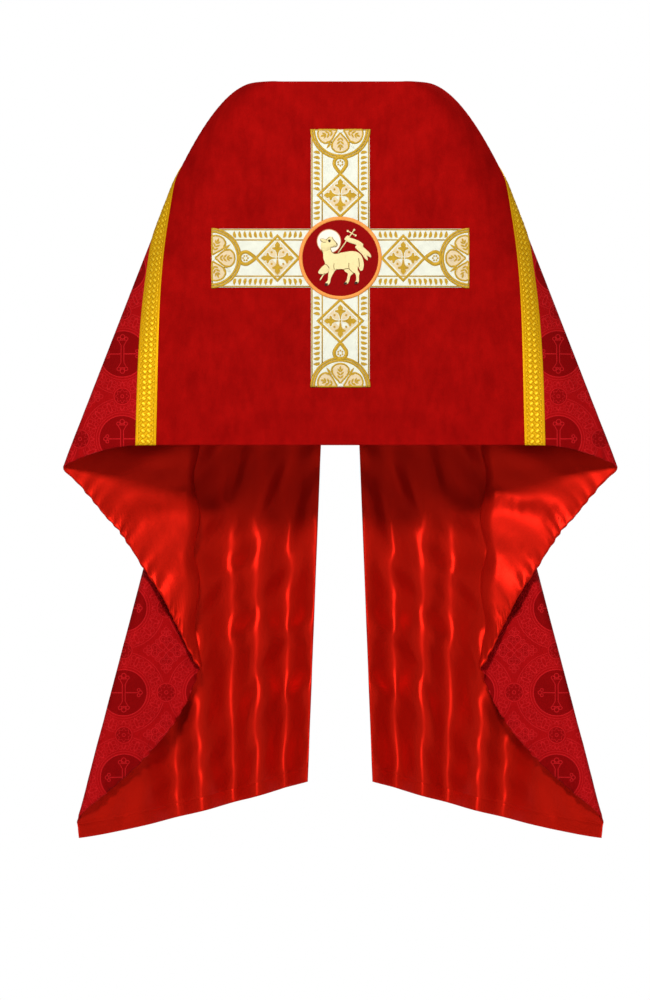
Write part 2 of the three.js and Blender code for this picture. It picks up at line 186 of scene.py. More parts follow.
def sizes():
    return bpy.context.scene.veil_sizes


def colours():
    return bpy.context.scene.veil_colours


def add_object(name, data):
    piece = bpy.data.objects.new(name, data)
    bpy.context.collection.objects.link(piece)
    return piece


def select_only(piece):
    bpy.ops.object.select_all(action="DESELECT")
    piece.select_set(True)
    bpy.context.view_layer.objects.active = piece


# ---- the draped surface ----
def tip_z():
    return sizes().depth + TIP_DROP


def ridge_x(z):
    down = np.minimum(-z, tip_z())
    straight = np.maximum(down - SHOULDER_DEPTH, 0)
    curved = np.maximum(np.minimum(down, SHOULDER_DEPTH), 0)
    return NECK_HALF + SHOULDER_ROUND * np.sqrt(curved) + SHOULDER_SLOPE * curved + RIDGE_SLOPE * straight


def ridge_y(z):
    return mix(NECK_FORWARD, TIP_FORWARD, np.clip(-z / tip_z(), 0, 1))


def edge_z(v):
    return -sizes().depth * v - TIP_DROP * v * v


def back_points(x, v):
    low = edge_z(v)
    turn = np.clip((x / ridge_x(low) - BACK_FLAT) / (1 - BACK_FLAT), 0, 1) ** 2
    return np.stack([x, ridge_y(low) * turn, mix(-sizes().depth * v, low, turn)], axis=-1)


def front_points(flat, layer):
    x, z = flat[..., 0], flat[..., 1]
    centre = CHEST_FORWARD - CHEST_SLOPE * z
    y = mix(centre, ridge_y(z), np.clip(x / ridge_x(z), 0, 1) ** FRONT_CURVE)
    parted = smooth((FOLD_APEX[1] - z) / LAYER_RUN)
    return np.stack([x, y + layer * LAYER_GAP * parted, z], axis=-1)


def bezier(a, b, c, t):
    """Points of a quadratic curve from a to c that leaves each end towards b."""
    t = t[:, None]
    return (1 - t) ** 2 * a + 2 * t * (1 - t) * b + t * t * c


def pipes(v, t):
    """How far the turned-back layer stands off in soft flutes that grow towards the hem."""
    if v >= PIPE_END:
        return 0 * t
    return PIPE_DEPTH * (1 - math.cos(2 * math.pi * PIPE_COUNT * v / PIPE_END)) / 2 * t ** 0.7


def row_line(v):
    """Points of one thread of the cloth from the centre back to the hem, for a share v of the depth."""
    ridge = np.array([float(ridge_x(edge_z(v))), edge_z(v)])
    low, high = max(2 * v - 1, 0), min(2 * v, 1)
    bend = mix(np.array([FRONT_GAP_HALF, -BREAST_DROP]), FOLD_APEX, high)
    inner = mix(bend + APEX_HALF, INNER_FOLD_LOW, low)
    outer = mix(bend - APEX_HALF, OUTER_FOLD_LOW, low)
    spread = (1 - v) ** HEM_SPREAD
    hem = np.array([mix(HEM_OUTER[0], HEM_INNER[0], spread), mix(HEM_OUTER[1], HEM_INNER[1], 1 - v)])

    def upper(t):
        flat = bezier(ridge, mix(ridge, inner, UPPER_BEND), inner, t)
        return front_points(flat, smooth((t - 0.85) / 0.3))

    def fold(t):
        flat = bezier(inner, mix(inner, outer, FOLD_BEND), outer, t)
        return front_points(flat, smooth(0.5 + t / 0.3))

    def lower(t):
        points = front_points(mix(outer, hem, t[:, None]), 2)
        points[:, 1] += pipes(v, t)
        return points

    back_end = ridge[0] - RIDGE_ROUND * 0.8
    upper_start = RIDGE_ROUND / np.linalg.norm(inner - ridge)
    lower_start = TURN_ROUND / np.linalg.norm(hem - outer)
    crest = back_points(ridge[0], v) + np.array([RIDGE_PULL, 0, 0])
    corner = front_points(outer, 1.5)
    one = lambda part, t: part(np.array([t]))[0]
    stretch = lambda count: np.linspace(0, 1, count)
    back = back_points(back_end * stretch(160), v)
    pieces = [
        back,
        bezier(back[-1], crest, one(upper, upper_start), stretch(40))[1:],
        upper(mix(upper_start, 1, stretch(140)))[1:],
        fold(TURN_START * stretch(100))[1:],
        bezier(one(fold, TURN_START), corner, one(lower, lower_start), stretch(30))[1:],
        lower(mix(lower_start, 1, stretch(160)))[1:],
    ]
    ends = np.concatenate([[0], np.cumsum([len(piece) for piece in pieces]) - 1])
    return np.concatenate(pieces), ends


def rounded(line, ends):
    """The same line at even spacing with its creases rounded a little, and the ends of its stretches."""
    arc = arc_length(line)
    count = int(arc[-1] / DENSE)
    even = np.linspace(0, arc[-1], count + 1)
    points = np.stack([np.interp(even, arc, line[:, k]) for k in range(3)], axis=-1)
    for _ in range(CREASE_PASSES):
        points[1:-1] = (points[:-2] + 2 * points[1:-1] + points[2:]) / 4
    found = arc_length(points)
    return points, found, found[np.round(arc[ends] / arc[-1] * count).astype(int)]


def arc_length(line):
    steps = np.linalg.norm(np.diff(line, axis=0), axis=1)
    return np.concatenate([[0], np.cumsum(steps)])


def seam(v):
    """Distance of the seam between velvet and damask from the centre back."""
    return SEAM_HIGH + SEAM_RUN * v


class Drape:
    """The cloth's threads from neck edge to lower edge, ready to be sampled by distance along them."""

    def __init__(self, shares):
        self.shares = shares
        made = [rounded(*row_line(v)) for v in shares]
        self.lines = [line for line, _, _ in made]
        self.arcs = [arc for _, arc, _ in made]
        self.marks = [marks for _, _, marks in made]

    def grid(self, stations):
        """stations(v, marks) gives the distances along a thread from the ends of its stretches."""
        along = [stations(v, marks) for v, marks in zip(self.shares, self.marks)]
        points = [
            np.stack([np.interp(u, arc, line[:, k]) for k in range(3)], axis=-1)
            for u, arc, line in zip(along, self.arcs, self.lines)
        ]
        return np.array(points), np.array(along)

    def lengths(self):
        return np.array([arc[-1] for arc in self.arcs])


EDGE_STEPS = np.array([0, 0.0003, 0.001, 0.002, 0.0035])
ROLL = 0.0035
DENSE = 0.0015              # spacing of the points of a thread
CREASE_PASSES = 14
CREASE_STEPS = np.array([0.0015, 0.0035, 0.0065])
CORE_MARGIN = 0.013         # the interlining stops short of the edges by this share of the depth
HEM_STITCH = 0.023
STITCH_STEPS = HEM_STITCH + np.array([-0.0018, -0.0009, 0, 0.0009, 0.0018])
STITCH_DEPTH = 0.0005
PUCKER_TURN = 300           # puckers along the sewn lower edge, in radians for each metre
PUCKER_HEIGHT = 0.0042
PUCKER_REACH = 0.016
WAVE_ACROSS = (0.62, 0.78)  # direction across the soft wrinkles of the falls, in x and z
WAVE_HEIGHT = 0.0055
FINE_WAVE_HEIGHT = 0.0018
RIDGE_CALM = 0.06           # the cloth lies smooth within about this distance of the ridge
TURN_CALM = 0.05            # and of the outer turn of the fold


def row_shares(step):
    """Shares of the depth for the threads, closer together at the neck and lower edges."""
    depth = sizes().depth
    count = int(depth / step)
    inner = (np.arange(1, count) / count) ** ROW_POWER
    edge = EDGE_STEPS / depth
    inner = inner[(inner > edge[-1] * 1.3) & (inner < 1 - edge[-1] * 1.3)]
    return np.concatenate([edge, inner, 1 - edge[::-1]])


def roll(distance):
    """How far a sheet stands off its edge: 0 on the edge, 1 from ROLL inwards."""
    return np.sqrt(1 - (1 - np.clip(distance / ROLL, 0, 1)) ** 2)


def ease(points, along, drape):
    """Small puckers and soft wrinkles of the sewn cloth, as a distance along its normal."""
    v = drape.shares[:, None]
    depth = sizes().depth
    lengths = drape.lengths()
    marks = np.array(drape.marks)
    x, z = points[..., 0], points[..., 2]
    crest = along - (marks[:, 1:2] + marks[:, 2:3]) / 2
    corner = along - (marks[:, 4:5] + marks[:, 5:6]) / 2
    calm = (1 - np.exp(-(crest / RIDGE_CALM) ** 2)) * (1 - np.exp(-(corner / TURN_CALM) ** 2))
    low = (1 - v) * depth
    hem = lengths[:, None] - along
    past = smooth((along - 0.36) / 0.10)
    below = smooth((-0.30 - z) / 0.20)
    pucker = np.sin(along * PUCKER_TURN + 2.6 * np.sin(along * 31)) * (0.6 + 0.4 * np.sin(along * 71 + 1.1))
    edge = PUCKER_HEIGHT * pucker * np.exp(-low / PUCKER_REACH) * smooth((along - 0.34) / 0.14)
    slant = WAVE_ACROSS[0] * x + WAVE_ACROSS[1] * z
    cross = WAVE_ACROSS[1] * x - WAVE_ACROSS[0] * z
    soft = np.sin(slant * 52 + 1.8 * np.sin(cross * 14)) * (0.5 + 0.5 * np.sin(cross * 11 + 0.8))
    fine = np.sin(slant * 118 + 2.4 * np.sin(cross * 23 + 1)) * np.sin(slant * 17 + cross * 31)
    waves = (WAVE_HEIGHT * soft + FINE_WAVE_HEIGHT * fine) * past * below * calm
    puckers = edge * mix(0.25, 1, calm) * smooth(hem / 0.06)
    stitched = -STITCH_DEPTH * np.exp(-((hem - HEM_STITCH) / 0.0011) ** 2)
    return puckers + waves * np.clip(hem / 0.03, 0.25, 1), stitched


def normals(points):
    across = np.gradient(points, axis=0)
    along = np.gradient(points, axis=1)
    found = np.cross(across, along)
    return found / np.maximum(np.linalg.norm(found, axis=-1, keepdims=True), 1e-12)


def sharpen_rims(mesh, rows, columns):
    """Keep the shading of a sheet's faces apart from that of its narrow edges."""
    count = rows * columns
    ends = np.empty(len(mesh.edges) * 2, int)
    mesh.edges.foreach_get("vertices", ends)
    ends = ends.reshape(-1, 2)
    row, column = np.divmod(ends % count, columns)
    same_layer = (ends[:, 0] < count) == (ends[:, 1] < count)
    on_row = (row[:, 0] == row[:, 1]) & np.isin(row[:, 0], (0, rows - 1))
    on_column = (column[:, 0] == column[:, 1]) & np.isin(column[:, 0], (0, columns - 1))
    sharp = mesh.attributes.new("sharp_edge", "BOOLEAN", "EDGE")
    sharp.data.foreach_set("value", same_layer & (on_row | on_column))


def sheet_mesh(name, outer, inner, cloth, side):
    """A thin closed sheet from two grids of points, with its cloth and figure coordinates as UV maps."""
    rows, columns = outer.shape[:2]
    count = rows * columns
    points = np.concatenate([outer.reshape(-1, 3), inner.reshape(-1, 3)])
    points = points * np.array([side, 1, 1])
    at = np.arange(count).reshape(rows, columns)
    face = lambda a, b, c, d: np.stack([a, b, c, d], axis=-1).reshape(-1, 4)
    top = face(at[:-1, :-1], at[1:, :-1], at[1:, 1:], at[:-1, 1:])
    under = top[:, ::-1] + count
    rims = [
        face(at[:-1, 0], at[:-1, 0] + count, at[1:, 0] + count, at[1:, 0]),
        face(at[:-1, -1], at[1:, -1], at[1:, -1] + count, at[:-1, -1] + count),
        face(at[0, :-1], at[0, 1:], at[0, 1:] + count, at[0, :-1] + count),
        face(at[-1, :-1], at[-1, :-1] + count, at[-1, 1:] + count, at[-1, 1:]),
    ]
    faces = np.concatenate([top, under, *rims])
    if side < 0:
        faces = faces[:, ::-1]
    mesh = bpy.data.meshes.new(name)
    mesh.vertices.add(len(points))
    mesh.vertices.foreach_set("co", points.ravel())
    mesh.loops.add(faces.size)
    mesh.loops.foreach_set("vertex_index", faces.ravel())
    mesh.polygons.add(len(faces))
    mesh.polygons.foreach_set("loop_start", np.arange(0, faces.size, 4))
    mesh.polygons.foreach_set("use_smooth", np.ones(len(faces), bool))
    mesh.update(calc_edges=True)
    sharpen_rims(mesh, rows, columns)
    both = np.concatenate([cloth.reshape(-1, 2)] * 2)
    figure = points[:, [0, 2]]
    for label, values in (("cloth", both), ("figure", figure)):
        layer = mesh.uv_layers.new(name=label)
        layer.data.foreach_set("uv", values[faces.ravel()].ravel())
    mesh.validate()
    return add_object(name, mesh)


SIDES = {"right": 1, "left": -1}


def bend_over_ridge(piece):
    """Bake the cloth's placement into its points."""
    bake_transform(piece)


def make_sheet(name, side, drape, stations, offsets, hem_rolled=True):
    """One cloth of one half of the veil. Its neck, lower and rolled hem edges close on the next cloth."""
    points, along = drape.grid(stations)
    lengths = drape.lengths()
    wave, stitched = ease(points, along, drape)
    direction = normals(points)
    depth = sizes().depth
    v = np.repeat(drape.shares[:, None], points.shape[1], axis=1)
    open_edge = roll(v * depth) * roll((1 - v) * depth)
    if hem_rolled:
        open_edge = open_edge * roll(lengths[:, None] - along)
    grids = []
    for offset in (offsets[1], offsets[0]):
        layer = np.sign(offset)
        height = mix(EDGE_MIDDLE * layer, offset, open_edge) + wave + stitched * layer
        grids.append(points + direction * height[..., None])
    cloth = np.stack([along, v * depth], axis=-1)
    return sheet_mesh(f"{side}_{name}", grids[0], grids[1], cloth, SIDES[side])


# ---- materials ----
class Term:
    """A number in a material's nodes, so that a pattern can be written as plain arithmetic."""

    def __init__(self, tree, value):
        self.tree = tree
        self.value = value

    def node(self, operation, *others, clamp=False):
        made = self.tree.nodes.new("ShaderNodeMath")
        made.operation = operation
        made.use_clamp = clamp
        for socket, item in zip(made.inputs, (self, *others)):
            value = item.value if isinstance(item, Term) else item
            if isinstance(value, (int, float)):
                socket.default_value = value
            else:
                self.tree.links.new(value, socket)
        return Term(self.tree, made.outputs[0])

    def __add__(self, other):
        return self.node("ADD", other)

    def __sub__(self, other):
        return self.node("SUBTRACT", other)

    def __mul__(self, other):
        return self.node("MULTIPLY", other)

    def __truediv__(self, other):
        return self.node("DIVIDE", other)

    def __abs__(self):
        return self.node("ABSOLUTE")

    def sin(self):
        return self.node("SINE")

    def low(self, other):
        return self.node("MINIMUM", other)

    def high(self, other):
        return self.node("MAXIMUM", other)

    def wrap(self, period):
        """The distance to the nearest whole period, with its sign."""
        return self.node("WRAP", period / 2, -period / 2)

    def inside(self, soft):
        """1 where the number is below zero, 0 above, over a soft edge."""
        return (self / -soft).node("ADD", 0.5, clamp=True)


def length(a, b):
    return (a * a + b * b).node("SQRT")


def new_material(name, base, roughness, **settings):
    material = bpy.data.materials.new(name)
    material.use_nodes = True
    tree = material.node_tree
    shader = tree.nodes["Principled BSDF"]
    shader.inputs["Base Color"].default_value = (*base, 1)
    shader.inputs["Roughness"].default_value = roughness
    for socket, value in settings.items():
        shader.inputs[socket.replace("_", " ")].default_value = value
    return material, tree, shader


def coordinates(tree, source, scale=1000):
    """The two coordinates of a UV map, or three of the object, as Terms in millimetres."""
    if source == "object":
        texture = tree.nodes.new("ShaderNodeTexCoord")
        vector = texture.outputs["Object"]
    else:
        texture = tree.nodes.new("ShaderNodeUVMap")
        texture.uv_map = source
        vector = texture.outputs["UV"]
    split = tree.nodes.new("ShaderNodeSeparateXYZ")
    tree.links.new(vector, split.inputs[0])
    return vector, [Term(tree, socket) * scale for socket in split.outputs]


def noise(tree, vector, scale, detail=3, rough=0.6, stretch=None):
    made = tree.nodes.new("ShaderNodeTexNoise")
    made.inputs["Scale"].default_value = scale
    made.inputs["Detail"].default_value = detail
    made.inputs["Roughness"].default_value = rough
    if stretch:
        mapping = tree.nodes.new("ShaderNodeMapping")
        mapping.inputs["Scale"].default_value = stretch
        tree.links.new(vector, mapping.inputs["Vector"])
        vector = mapping.outputs["Vector"]
    tree.links.new(vector, made.inputs["Vector"])
    return Term(tree, made.outputs["Fac"])


def blend_colour(tree, factor, first, second):
    """A colour between two, where each is a colour value or a socket."""
    made = tree.nodes.new("ShaderNodeMix")
    made.data_type = "RGBA"
    tree.links.new(factor.value, made.inputs["Factor"])
    for socket, item in ((made.inputs[6], first), (made.inputs[7], second)):
        if isinstance(item, bpy.types.NodeSocket):
            tree.links.new(item, socket)
        else:
            socket.default_value = (*item, 1)
    return made.outputs[2]


def darker(base, share):
    return [c * share for c in base]


def paint(tree, shader, factor, first, second):
    """Colour the shader between two colours, by a share from 0 to 1."""
    tree.links.new(blend_colour(tree, factor, first, second), shader.inputs["Base Color"])


def bump(tree, shader, height, distance, strength=1.0):
    made = tree.nodes.new("ShaderNodeBump")
    made.inputs["Distance"].default_value = distance
    made.inputs["Strength"].default_value = strength
    tree.links.new(height.value, made.inputs["Height"])
    tree.links.new(made.outputs["Normal"], shader.inputs["Normal"])


def weave(u, v, pitch):
    """Height of a plain weave: over and under in both directions."""
    a = (u * (math.pi / pitch)).sin()
    b = (v * (math.pi / pitch)).sin()
    return abs(a) * 0.5 + abs(b) * 0.5


def velvet_material():
    material, tree, shader = new_material(
        "velvet", colours().velvet, 0.92, Sheen_Weight=0.10, Sheen_Roughness=0.35, Specular_IOR_Level=0.0)
    shader.inputs["Sheen Tint"].default_value = (0.9, 0.06, 0.05, 1)
    vector, (u, v, _) = coordinates(tree, "cloth")
    clouds = noise(tree, vector, 17, detail=6, rough=0.62)
    brushed = noise(tree, vector, 60, detail=5, rough=0.7, stretch=(1, 0.35, 1))
    pile = noise(tree, vector, 900, detail=2, rough=0.6)
    shade = ((clouds - 0.5) * 1.9 + (brushed - 0.5) * 1.6 + (pile - 0.5) * 1.4).node("ADD", 0.55, clamp=True)
    paint(tree, shader, shade, colours().velvet_deep, colours().velvet)
    bump(tree, shader, pile * 0.7 + brushed * 0.5, 0.0006, 0.5)
    return material


# ---- woven patterns, in millimetres ----
BRAID_PITCH = 9.0
BRAID_SELVAGE = 4.6
DAMASK_PERIOD = 140.5       # from circle to circle, across and down
DAMASK_X = 360.0            # the middle of one circle
DAMASK_Z = -449.0
CIRCLE_R = 37.5
SPRIG_R = 55                # the ring of sprigs, along their middles


def outline(edge, half=0.6, soft=0.7):
    """A line along the border of a shape whose signed distance is edge."""
    return (abs(edge) - half).inside(soft)


def petals(px, pz, count, radius, depth):
    """Signed distance to a rosette with rounded petals, and the distance from its middle."""
    reach = length(px, pz)
    spin = (pz.node("ARCTAN2", px) * count).node("COSINE")
    return reach - radius - spin * depth, reach


def damask_cross(cx, cz):
    """The tall cross inside each circle: a flared shaft and a thin bar, with three-lobed ends."""
    ax, az = abs(cx), abs(cz)
    shaft = (ax - 2.4 - (az - 14.0).high(0) * 0.55).high(az - 23)
    bar = (az - 0.9).high(ax - 23)
    lobes = (length(ax, az - 28.5) - 3.6).low(length(ax - 6.2, az - 25) - 2.8)
    side_lobes = (length(ax - 27.5, az) - 3.0).low(length(ax - 24.5, az - 4.4) - 2.4)
    shape = shaft.low(lobes).low(side_lobes)
    beyond = (shape - 0.6).node("GREATER_THAN", 0)
    return outline(shape, 0.7).high(bar.inside(0.6) * beyond)


def damask_figure(x, z):
    """The woven figure, as shares of ground and line: circles with crosses, leaf rings, rosettes, hearts."""
    half = DAMASK_PERIOD / 2
    cx, cz = (abs(x) - DAMASK_X).wrap(DAMASK_PERIOD), (z - DAMASK_Z).wrap(DAMASK_PERIOD)
    ox, oz = (abs(x) - DAMASK_X - half).wrap(DAMASK_PERIOD), (z - DAMASK_Z - half).wrap(DAMASK_PERIOD)
    r = length(cx, cz)
    circle_zone = (r - CIRCLE_R).inside(0.8)

    side, side_reach = petals(ox, cz, 8, 10.6, 2.4)
    top, top_reach = petals(cx, oz, 8, 9.4, 1.6)
    rosette_zone = (side_reach - 17.5).inside(0.6).high((top_reach - 16.0).inside(0.6))
    rosettes = outline(side).high(outline(side_reach - 2.8)).high(outline(side_reach - 15.2))
    rosettes = rosettes.high(outline(top)).high(outline(top_reach - 2.6)).high(outline(top_reach - 13.8))
    free = rosette_zone * -1 + 1

    # a ring of sixteen leaf sprigs round each circle
    along = cz.node("ARCTAN2", cx).wrap(math.pi / 8) * SPRIG_R
    out = r - SPRIG_R
    side_step = abs(along)
    sprig = length(along * 1.2, out * 0.42) - 3.4
    curls = (length(side_step - 6.4, out + 5.6) - 3.2).low(length(side_step - 6.0, out - 5.4) - 3.6)
    scroll = outline(sprig).high(outline(curls, 0.5)).high(outline(length(side_step - 10.8, out) - 1.6, 0.5))
    rings = outline(r - 38.5, 0.8).high(outline(r - 43.0, 0.5)).high(outline(r - 67.0, 0.6))
    ring_zone = (abs(out) - 11.6).inside(0.8)

    # a cross of four hearts with three-lobed tips at the corners between the circles
    reach, wide = abs(ox).high(abs(oz)), abs(ox).low(abs(oz))
    heart = (length(reach - 18.5, wide - 5.0) - 6.2).low((wide - (reach - 4.0) * 0.62).high(reach - 18.5))
    tip = (length(reach - 34.5, wide) - 3.4).low(length(reach - 29.5, wide - 5.6) - 2.8)
    stem = (wide - 0.9).high(abs(reach - 28.0) - 5.0)
    leaflet = length(abs(ox) - 13.8, abs(oz) - 13.8) - 4.4
    hearts = outline(heart, 0.8).high(outline(heart + 3.0, 0.5)).high(outline(length(ox, oz) - 3.4, 0.6))
    hearts = hearts.high(outline(tip, 0.6)).high(stem.inside(0.6)).high(outline(leaflet, 0.6))
    hearts = hearts.high(outline(leaflet + 2.6, 0.4))
    corner_zone = (r - 68.5).node("GREATER_THAN", 0)

    discs = (side_reach - 13.6).inside(0.8).high((top_reach - 12.4).inside(0.8))
    ground = circle_zone.high(discs * 0.7).high((heart + 1.5).inside(1.0) * corner_zone * 0.35)
    line = (rings * free).high(damask_cross(cx, cz) * circle_zone).high(scroll * ring_zone * free)
    line = line.high(rosettes * rosette_zone).high(hearts * corner_zone * free)
    return ground, line


def damask_material():
    material, tree, shader = new_material("damask", colours().damask, 0.5, Specular_IOR_Level=0.04)
    shader.inputs["Specular Tint"].default_value = (1.0, 0.12, 0.12, 1)
    _, (x, z, _) = coordinates(tree, "figure")
    cloth, (u, v, _) = coordinates(tree, "cloth")
    ground, line = damask_figure(x, z)
    threads = weave(u, v, 0.62)
    tone = noise(tree, cloth, 25, detail=4)
    base = blend_colour(tree, ground, colours().damask, colours().damask_deep)
    base = blend_colour(tree, line * 0.85, base, colours().damask_line)
    mottled = (tone - 0.35).node("MULTIPLY", 0.5, clamp=True)
    paint(tree, shader, mottled, base, colours().damask_deep)
    rough = ground * 0.22 + 0.42 - line * 0.10
    tree.links.new(rough.value, shader.inputs["Roughness"])
    bump(tree, shader, threads * 0.25 + line * 0.9 - ground * 0.6, 0.0005, 0.7)
    return material


def satin_material():
    material, tree, shader = new_material(
        "satin_lining", colours().satin, 0.3, Metallic=0.55, Specular_IOR_Level=0.12, Anisotropic=0.85)
    shader.inputs["Specular Tint"].default_value = (1.0, 0.2, 0.1, 1)
    tangent = tree.nodes.new("ShaderNodeTangent")
    tangent.direction_type = "UV_MAP"
    tangent.uv_map = "cloth"
    tree.links.new(tangent.outputs[0], shader.inputs["Tangent"])
    vector, (u, v, _) = coordinates(tree, "cloth")
    streak = noise(tree, vector, 240, detail=3, stretch=(1, 0.08, 1))
    soft = noise(tree, vector, 30, detail=1, rough=0.4)
    threads = weave(u, v, 0.45)
    rough = streak * 0.06 + soft * 0.08 + 0.34
    tree.links.new(rough.value, shader.inputs["Roughness"])
    bump(tree, shader, threads * 0.05 + streak * 0.05 + soft * 3.0, 0.0008, 0.45)
    return material


def canvas_material():
    material, tree, shader = new_material("interlining_canvas", colours().canvas, 0.9)
    _, (u, v, _) = coordinates(tree, "cloth")
    threads = weave(u, v, 1.1)
    paint(tree, shader, threads, darker(colours().canvas, 0.6), colours().canvas)
    bump(tree, shader, threads, 0.0004)
    return material


def galloon_material():
    """Metallic braid: wide slanting strands over and under each other, between two plain selvages, with
    painted shade between the strands and painted highlights on their tops.
    """
    material, tree, shader = new_material(
        "galloon", colours().gold, 0.45, Metallic=0.35, Specular_IOR_Level=0.08)
    shader.inputs["Specular Tint"].default_value = (1.0, 0.7, 0.1, 1)
    vector, (u, v, _) = coordinates(tree, "cloth")
    side = abs(u)
    first, second = (u + v) * (math.pi / BRAID_PITCH), (u - v) * (math.pi / BRAID_PITCH)
    over = (first.sin() * second.sin()).node("GREATER_THAN", 0)
    upper = abs(first.sin()) * 0.75 + abs((first * 6).sin()) * 0.40
    lower = abs(second.sin()) * 0.55 + abs((second * 6).sin()) * 0.35
    middle = over * upper + (over * -1 + 1) * lower
    edge = sizes().galloon_width / MM / 2 - BRAID_SELVAGE
    plain = (side - edge).node("GREATER_THAN", 0)
    # the strand height with its grooves sets the bump and also the colour below: painted shade in the low
    # parts, between and under the strands and in the grooves by the selvages
    groove = (abs(side - edge) - 0.45).inside(0.5).high((abs(side - edge - 2.4) - 0.15).inside(0.4) * 0.5)
    flat = abs((v * (math.pi / 0.9)).sin()) * 0.12 + 0.52
    strand = (plain * flat + (plain * -1 + 1) * middle) * (groove * -0.75 + 1)
    fibre = noise(tree, vector, 1400, detail=2, stretch=(1, 0.3, 1))
    tone = noise(tree, vector, 130, detail=3)
    shade = (strand * 1.0 + (fibre - 0.5) * 0.3 + (tone - 0.5) * 0.4).node("ADD", 0.02, clamp=True)
    # painted shade: the gold is mixed towards a darker shaded gold where the strands are low
    base = blend_colour(tree, shade, colours().gold_painted_shade, colours().gold)
    # painted highlight: a pale gold on the tops of the over-strands
    painted_highlight_share = ((middle - 0.80) * 2.6).node("MULTIPLY", plain * -1 + 1, clamp=True)
    paint(tree, shader, painted_highlight_share, base, colours().gold_painted_highlight)
    bump(tree, shader, strand * 1.2 + fibre * 0.3, 0.0005, 0.8)
    return material


def thread_material(name, base, deep, direction=(1, 0, 0), roughness=0.45, metallic=0.0, pitch=0.7):
    """Stitched thread: fine parallel strands, with a light tone change from stitch to stitch."""
    material, tree, shader = new_material(
        name, base, roughness, Metallic=metallic, Specular_IOR_Level=0.12)
    vector, (x, y, z) = coordinates(tree, "object")
    across = x * direction[0] + y * direction[1] + z * direction[2]
    strand = abs((across * (math.pi / pitch)).sin())
    tone = noise(tree, vector, 420, detail=3)
    wide = noise(tree, vector, 90, detail=2)
    shade = (strand * 0.45 + (tone - 0.5) * 0.9 + (wide - 0.5) * 0.7).node("ADD", 0.5, clamp=True)
    paint(tree, shader, shade, deep, base)
    bump(tree, shader, strand * 0.7 + tone * 0.5, 0.0003, 0.8)
    return material


def band_material():
    material, tree, shader = new_material("orphrey_ground", colours().ivory, 0.5, Specular_IOR_Level=0.15)
    vector, (x, _, z) = coordinates(tree, "object")
    threads = weave(x, z, 0.55)
    tone = noise(tree, vector, 60, detail=3)
    shade = (threads * 0.4 + (tone - 0.5) * 1.1).node("ADD", 0.35, clamp=True)
    paint(tree, shader, shade, darker(colours().ivory, 0.80), colours().ivory)
    bump(tree, shader, threads + tone * 0.5, 0.00025, 0.8)
    return material


def felt_material():
    material, tree, shader = new_material("medallion_felt", colours().scarlet, 0.9, Specular_IOR_Level=0.03)
    vector, _ = coordinates(tree, "object")
    fuzz = noise(tree, vector, 700, detail=4, rough=0.7)
    shade = ((fuzz - 0.5) * 2.2).node("ADD", 0.6, clamp=True)
    paint(tree, shader, shade, darker(colours().scarlet, 0.6), colours().scarlet)
    bump(tree, shader, fuzz, 0.0005, 0.6)
    return material


def brass_material():
    material, tree, shader = new_material("clasp_brass", colours().brass, 0.28, Metallic=1.0)
    vector, _ = coordinates(tree, "object")
    wear = noise(tree, vector, 160, detail=4)
    scratches = noise(tree, vector, 900, detail=2, stretch=(1, 1, 0.1))
    rough = wear * 0.22 + scratches * 0.08 + 0.16
    tree.links.new(rough.value, shader.inputs["Roughness"])
    shade = ((wear - 0.5) * 2).node("ADD", 0.7, clamp=True)
    paint(tree, shader, shade, darker(colours().brass, 0.55), colours().brass)
    bump(tree, shader, scratches, 0.0001, 0.4)
    return material


MATERIALS = {}


def finish_for(name, maker, *arguments, **settings):
    if name not in MATERIALS:
        MATERIALS[name] = maker(*arguments, **settings)
    return MATERIALS[name]


def thread(name, base, deep, **settings):
    return finish_for(name, thread_material, name, base, deep, **settings)


def gold_thread():
    base = colours().thread
    return thread("gold_thread", base, darker(base, 0.42),
                  direction=(0.7, 0, 0.7), roughness=0.4, metallic=0.15, pitch=0.9)


def cream_thread():
    base = colours().cream
    return thread("cream_thread", base, darker(base, 0.72),
                  direction=(0.5, 0, 0.86), roughness=0.5, pitch=0.75)


def orange_thread():
    base = colours().orange
    return thread("orange_thread", base, darker(base, 0.62),
                  direction=(0.3, 0, 0.95), roughness=0.4, pitch=0.8)


def finish_piece(piece, material, body, slot):
    piece.data.materials.clear()
    piece.data.materials.append(material)
    if body:
        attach(piece, body)
    return piece


# ---- flat needlework on the back, drawn in the XZ plane ----
def stitched_shape(name, lines, face, height, closed=True, width=None, bevel=0.0, grow=0.0):
    """Filled outlines, or cords along the lines when width is given, standing off the plane y = face."""
    curve = bpy.data.curves.new(name, "CURVE")
    curve.dimensions = "3D" if width else "2D"
    curve.fill_mode = "FULL" if width else "BOTH"
    if width:
        curve.bevel_depth = width / 2
        curve.bevel_resolution = 2
        curve.use_fill_caps = True
    else:
        curve.extrude = height / 2
        curve.bevel_depth = bevel
        curve.bevel_resolution = 1
        curve.offset = grow - bevel
    for line in lines:
        spline = curve.splines.new("POLY")
        spline.points.add(len(line) - 1)
        spline.points.foreach_set("co", [value for x, z in line for value in (x, z, 0, 1)])
        spline.use_cyclic_u = closed
    select_only(add_object(name, curve))
    bpy.ops.object.convert(target="MESH")
    piece = bpy.context.object
    bpy.ops.object.mode_set(mode="EDIT")
    bpy.ops.mesh.select_all(action="SELECT")
    bpy.ops.mesh.remove_doubles(threshold=1e-6)
    bpy.ops.mesh.normals_make_consistent(inside=False)
    bpy.ops.object.mode_set(mode="OBJECT")
    thickness = 2 * height / width if width else 1
    piece.scale = (1, 1, thickness)
    piece.rotation_euler = (math.pi / 2, 0, 0)
    piece.location = (0, face - (0 if width else height / 2 + bevel), 0)
    bpy.ops.object.transform_apply(location=True, rotation=True, scale=True)
    piece.data.polygons.foreach_set("use_smooth", [bool(width)] * len(piece.data.polygons))
    return piece


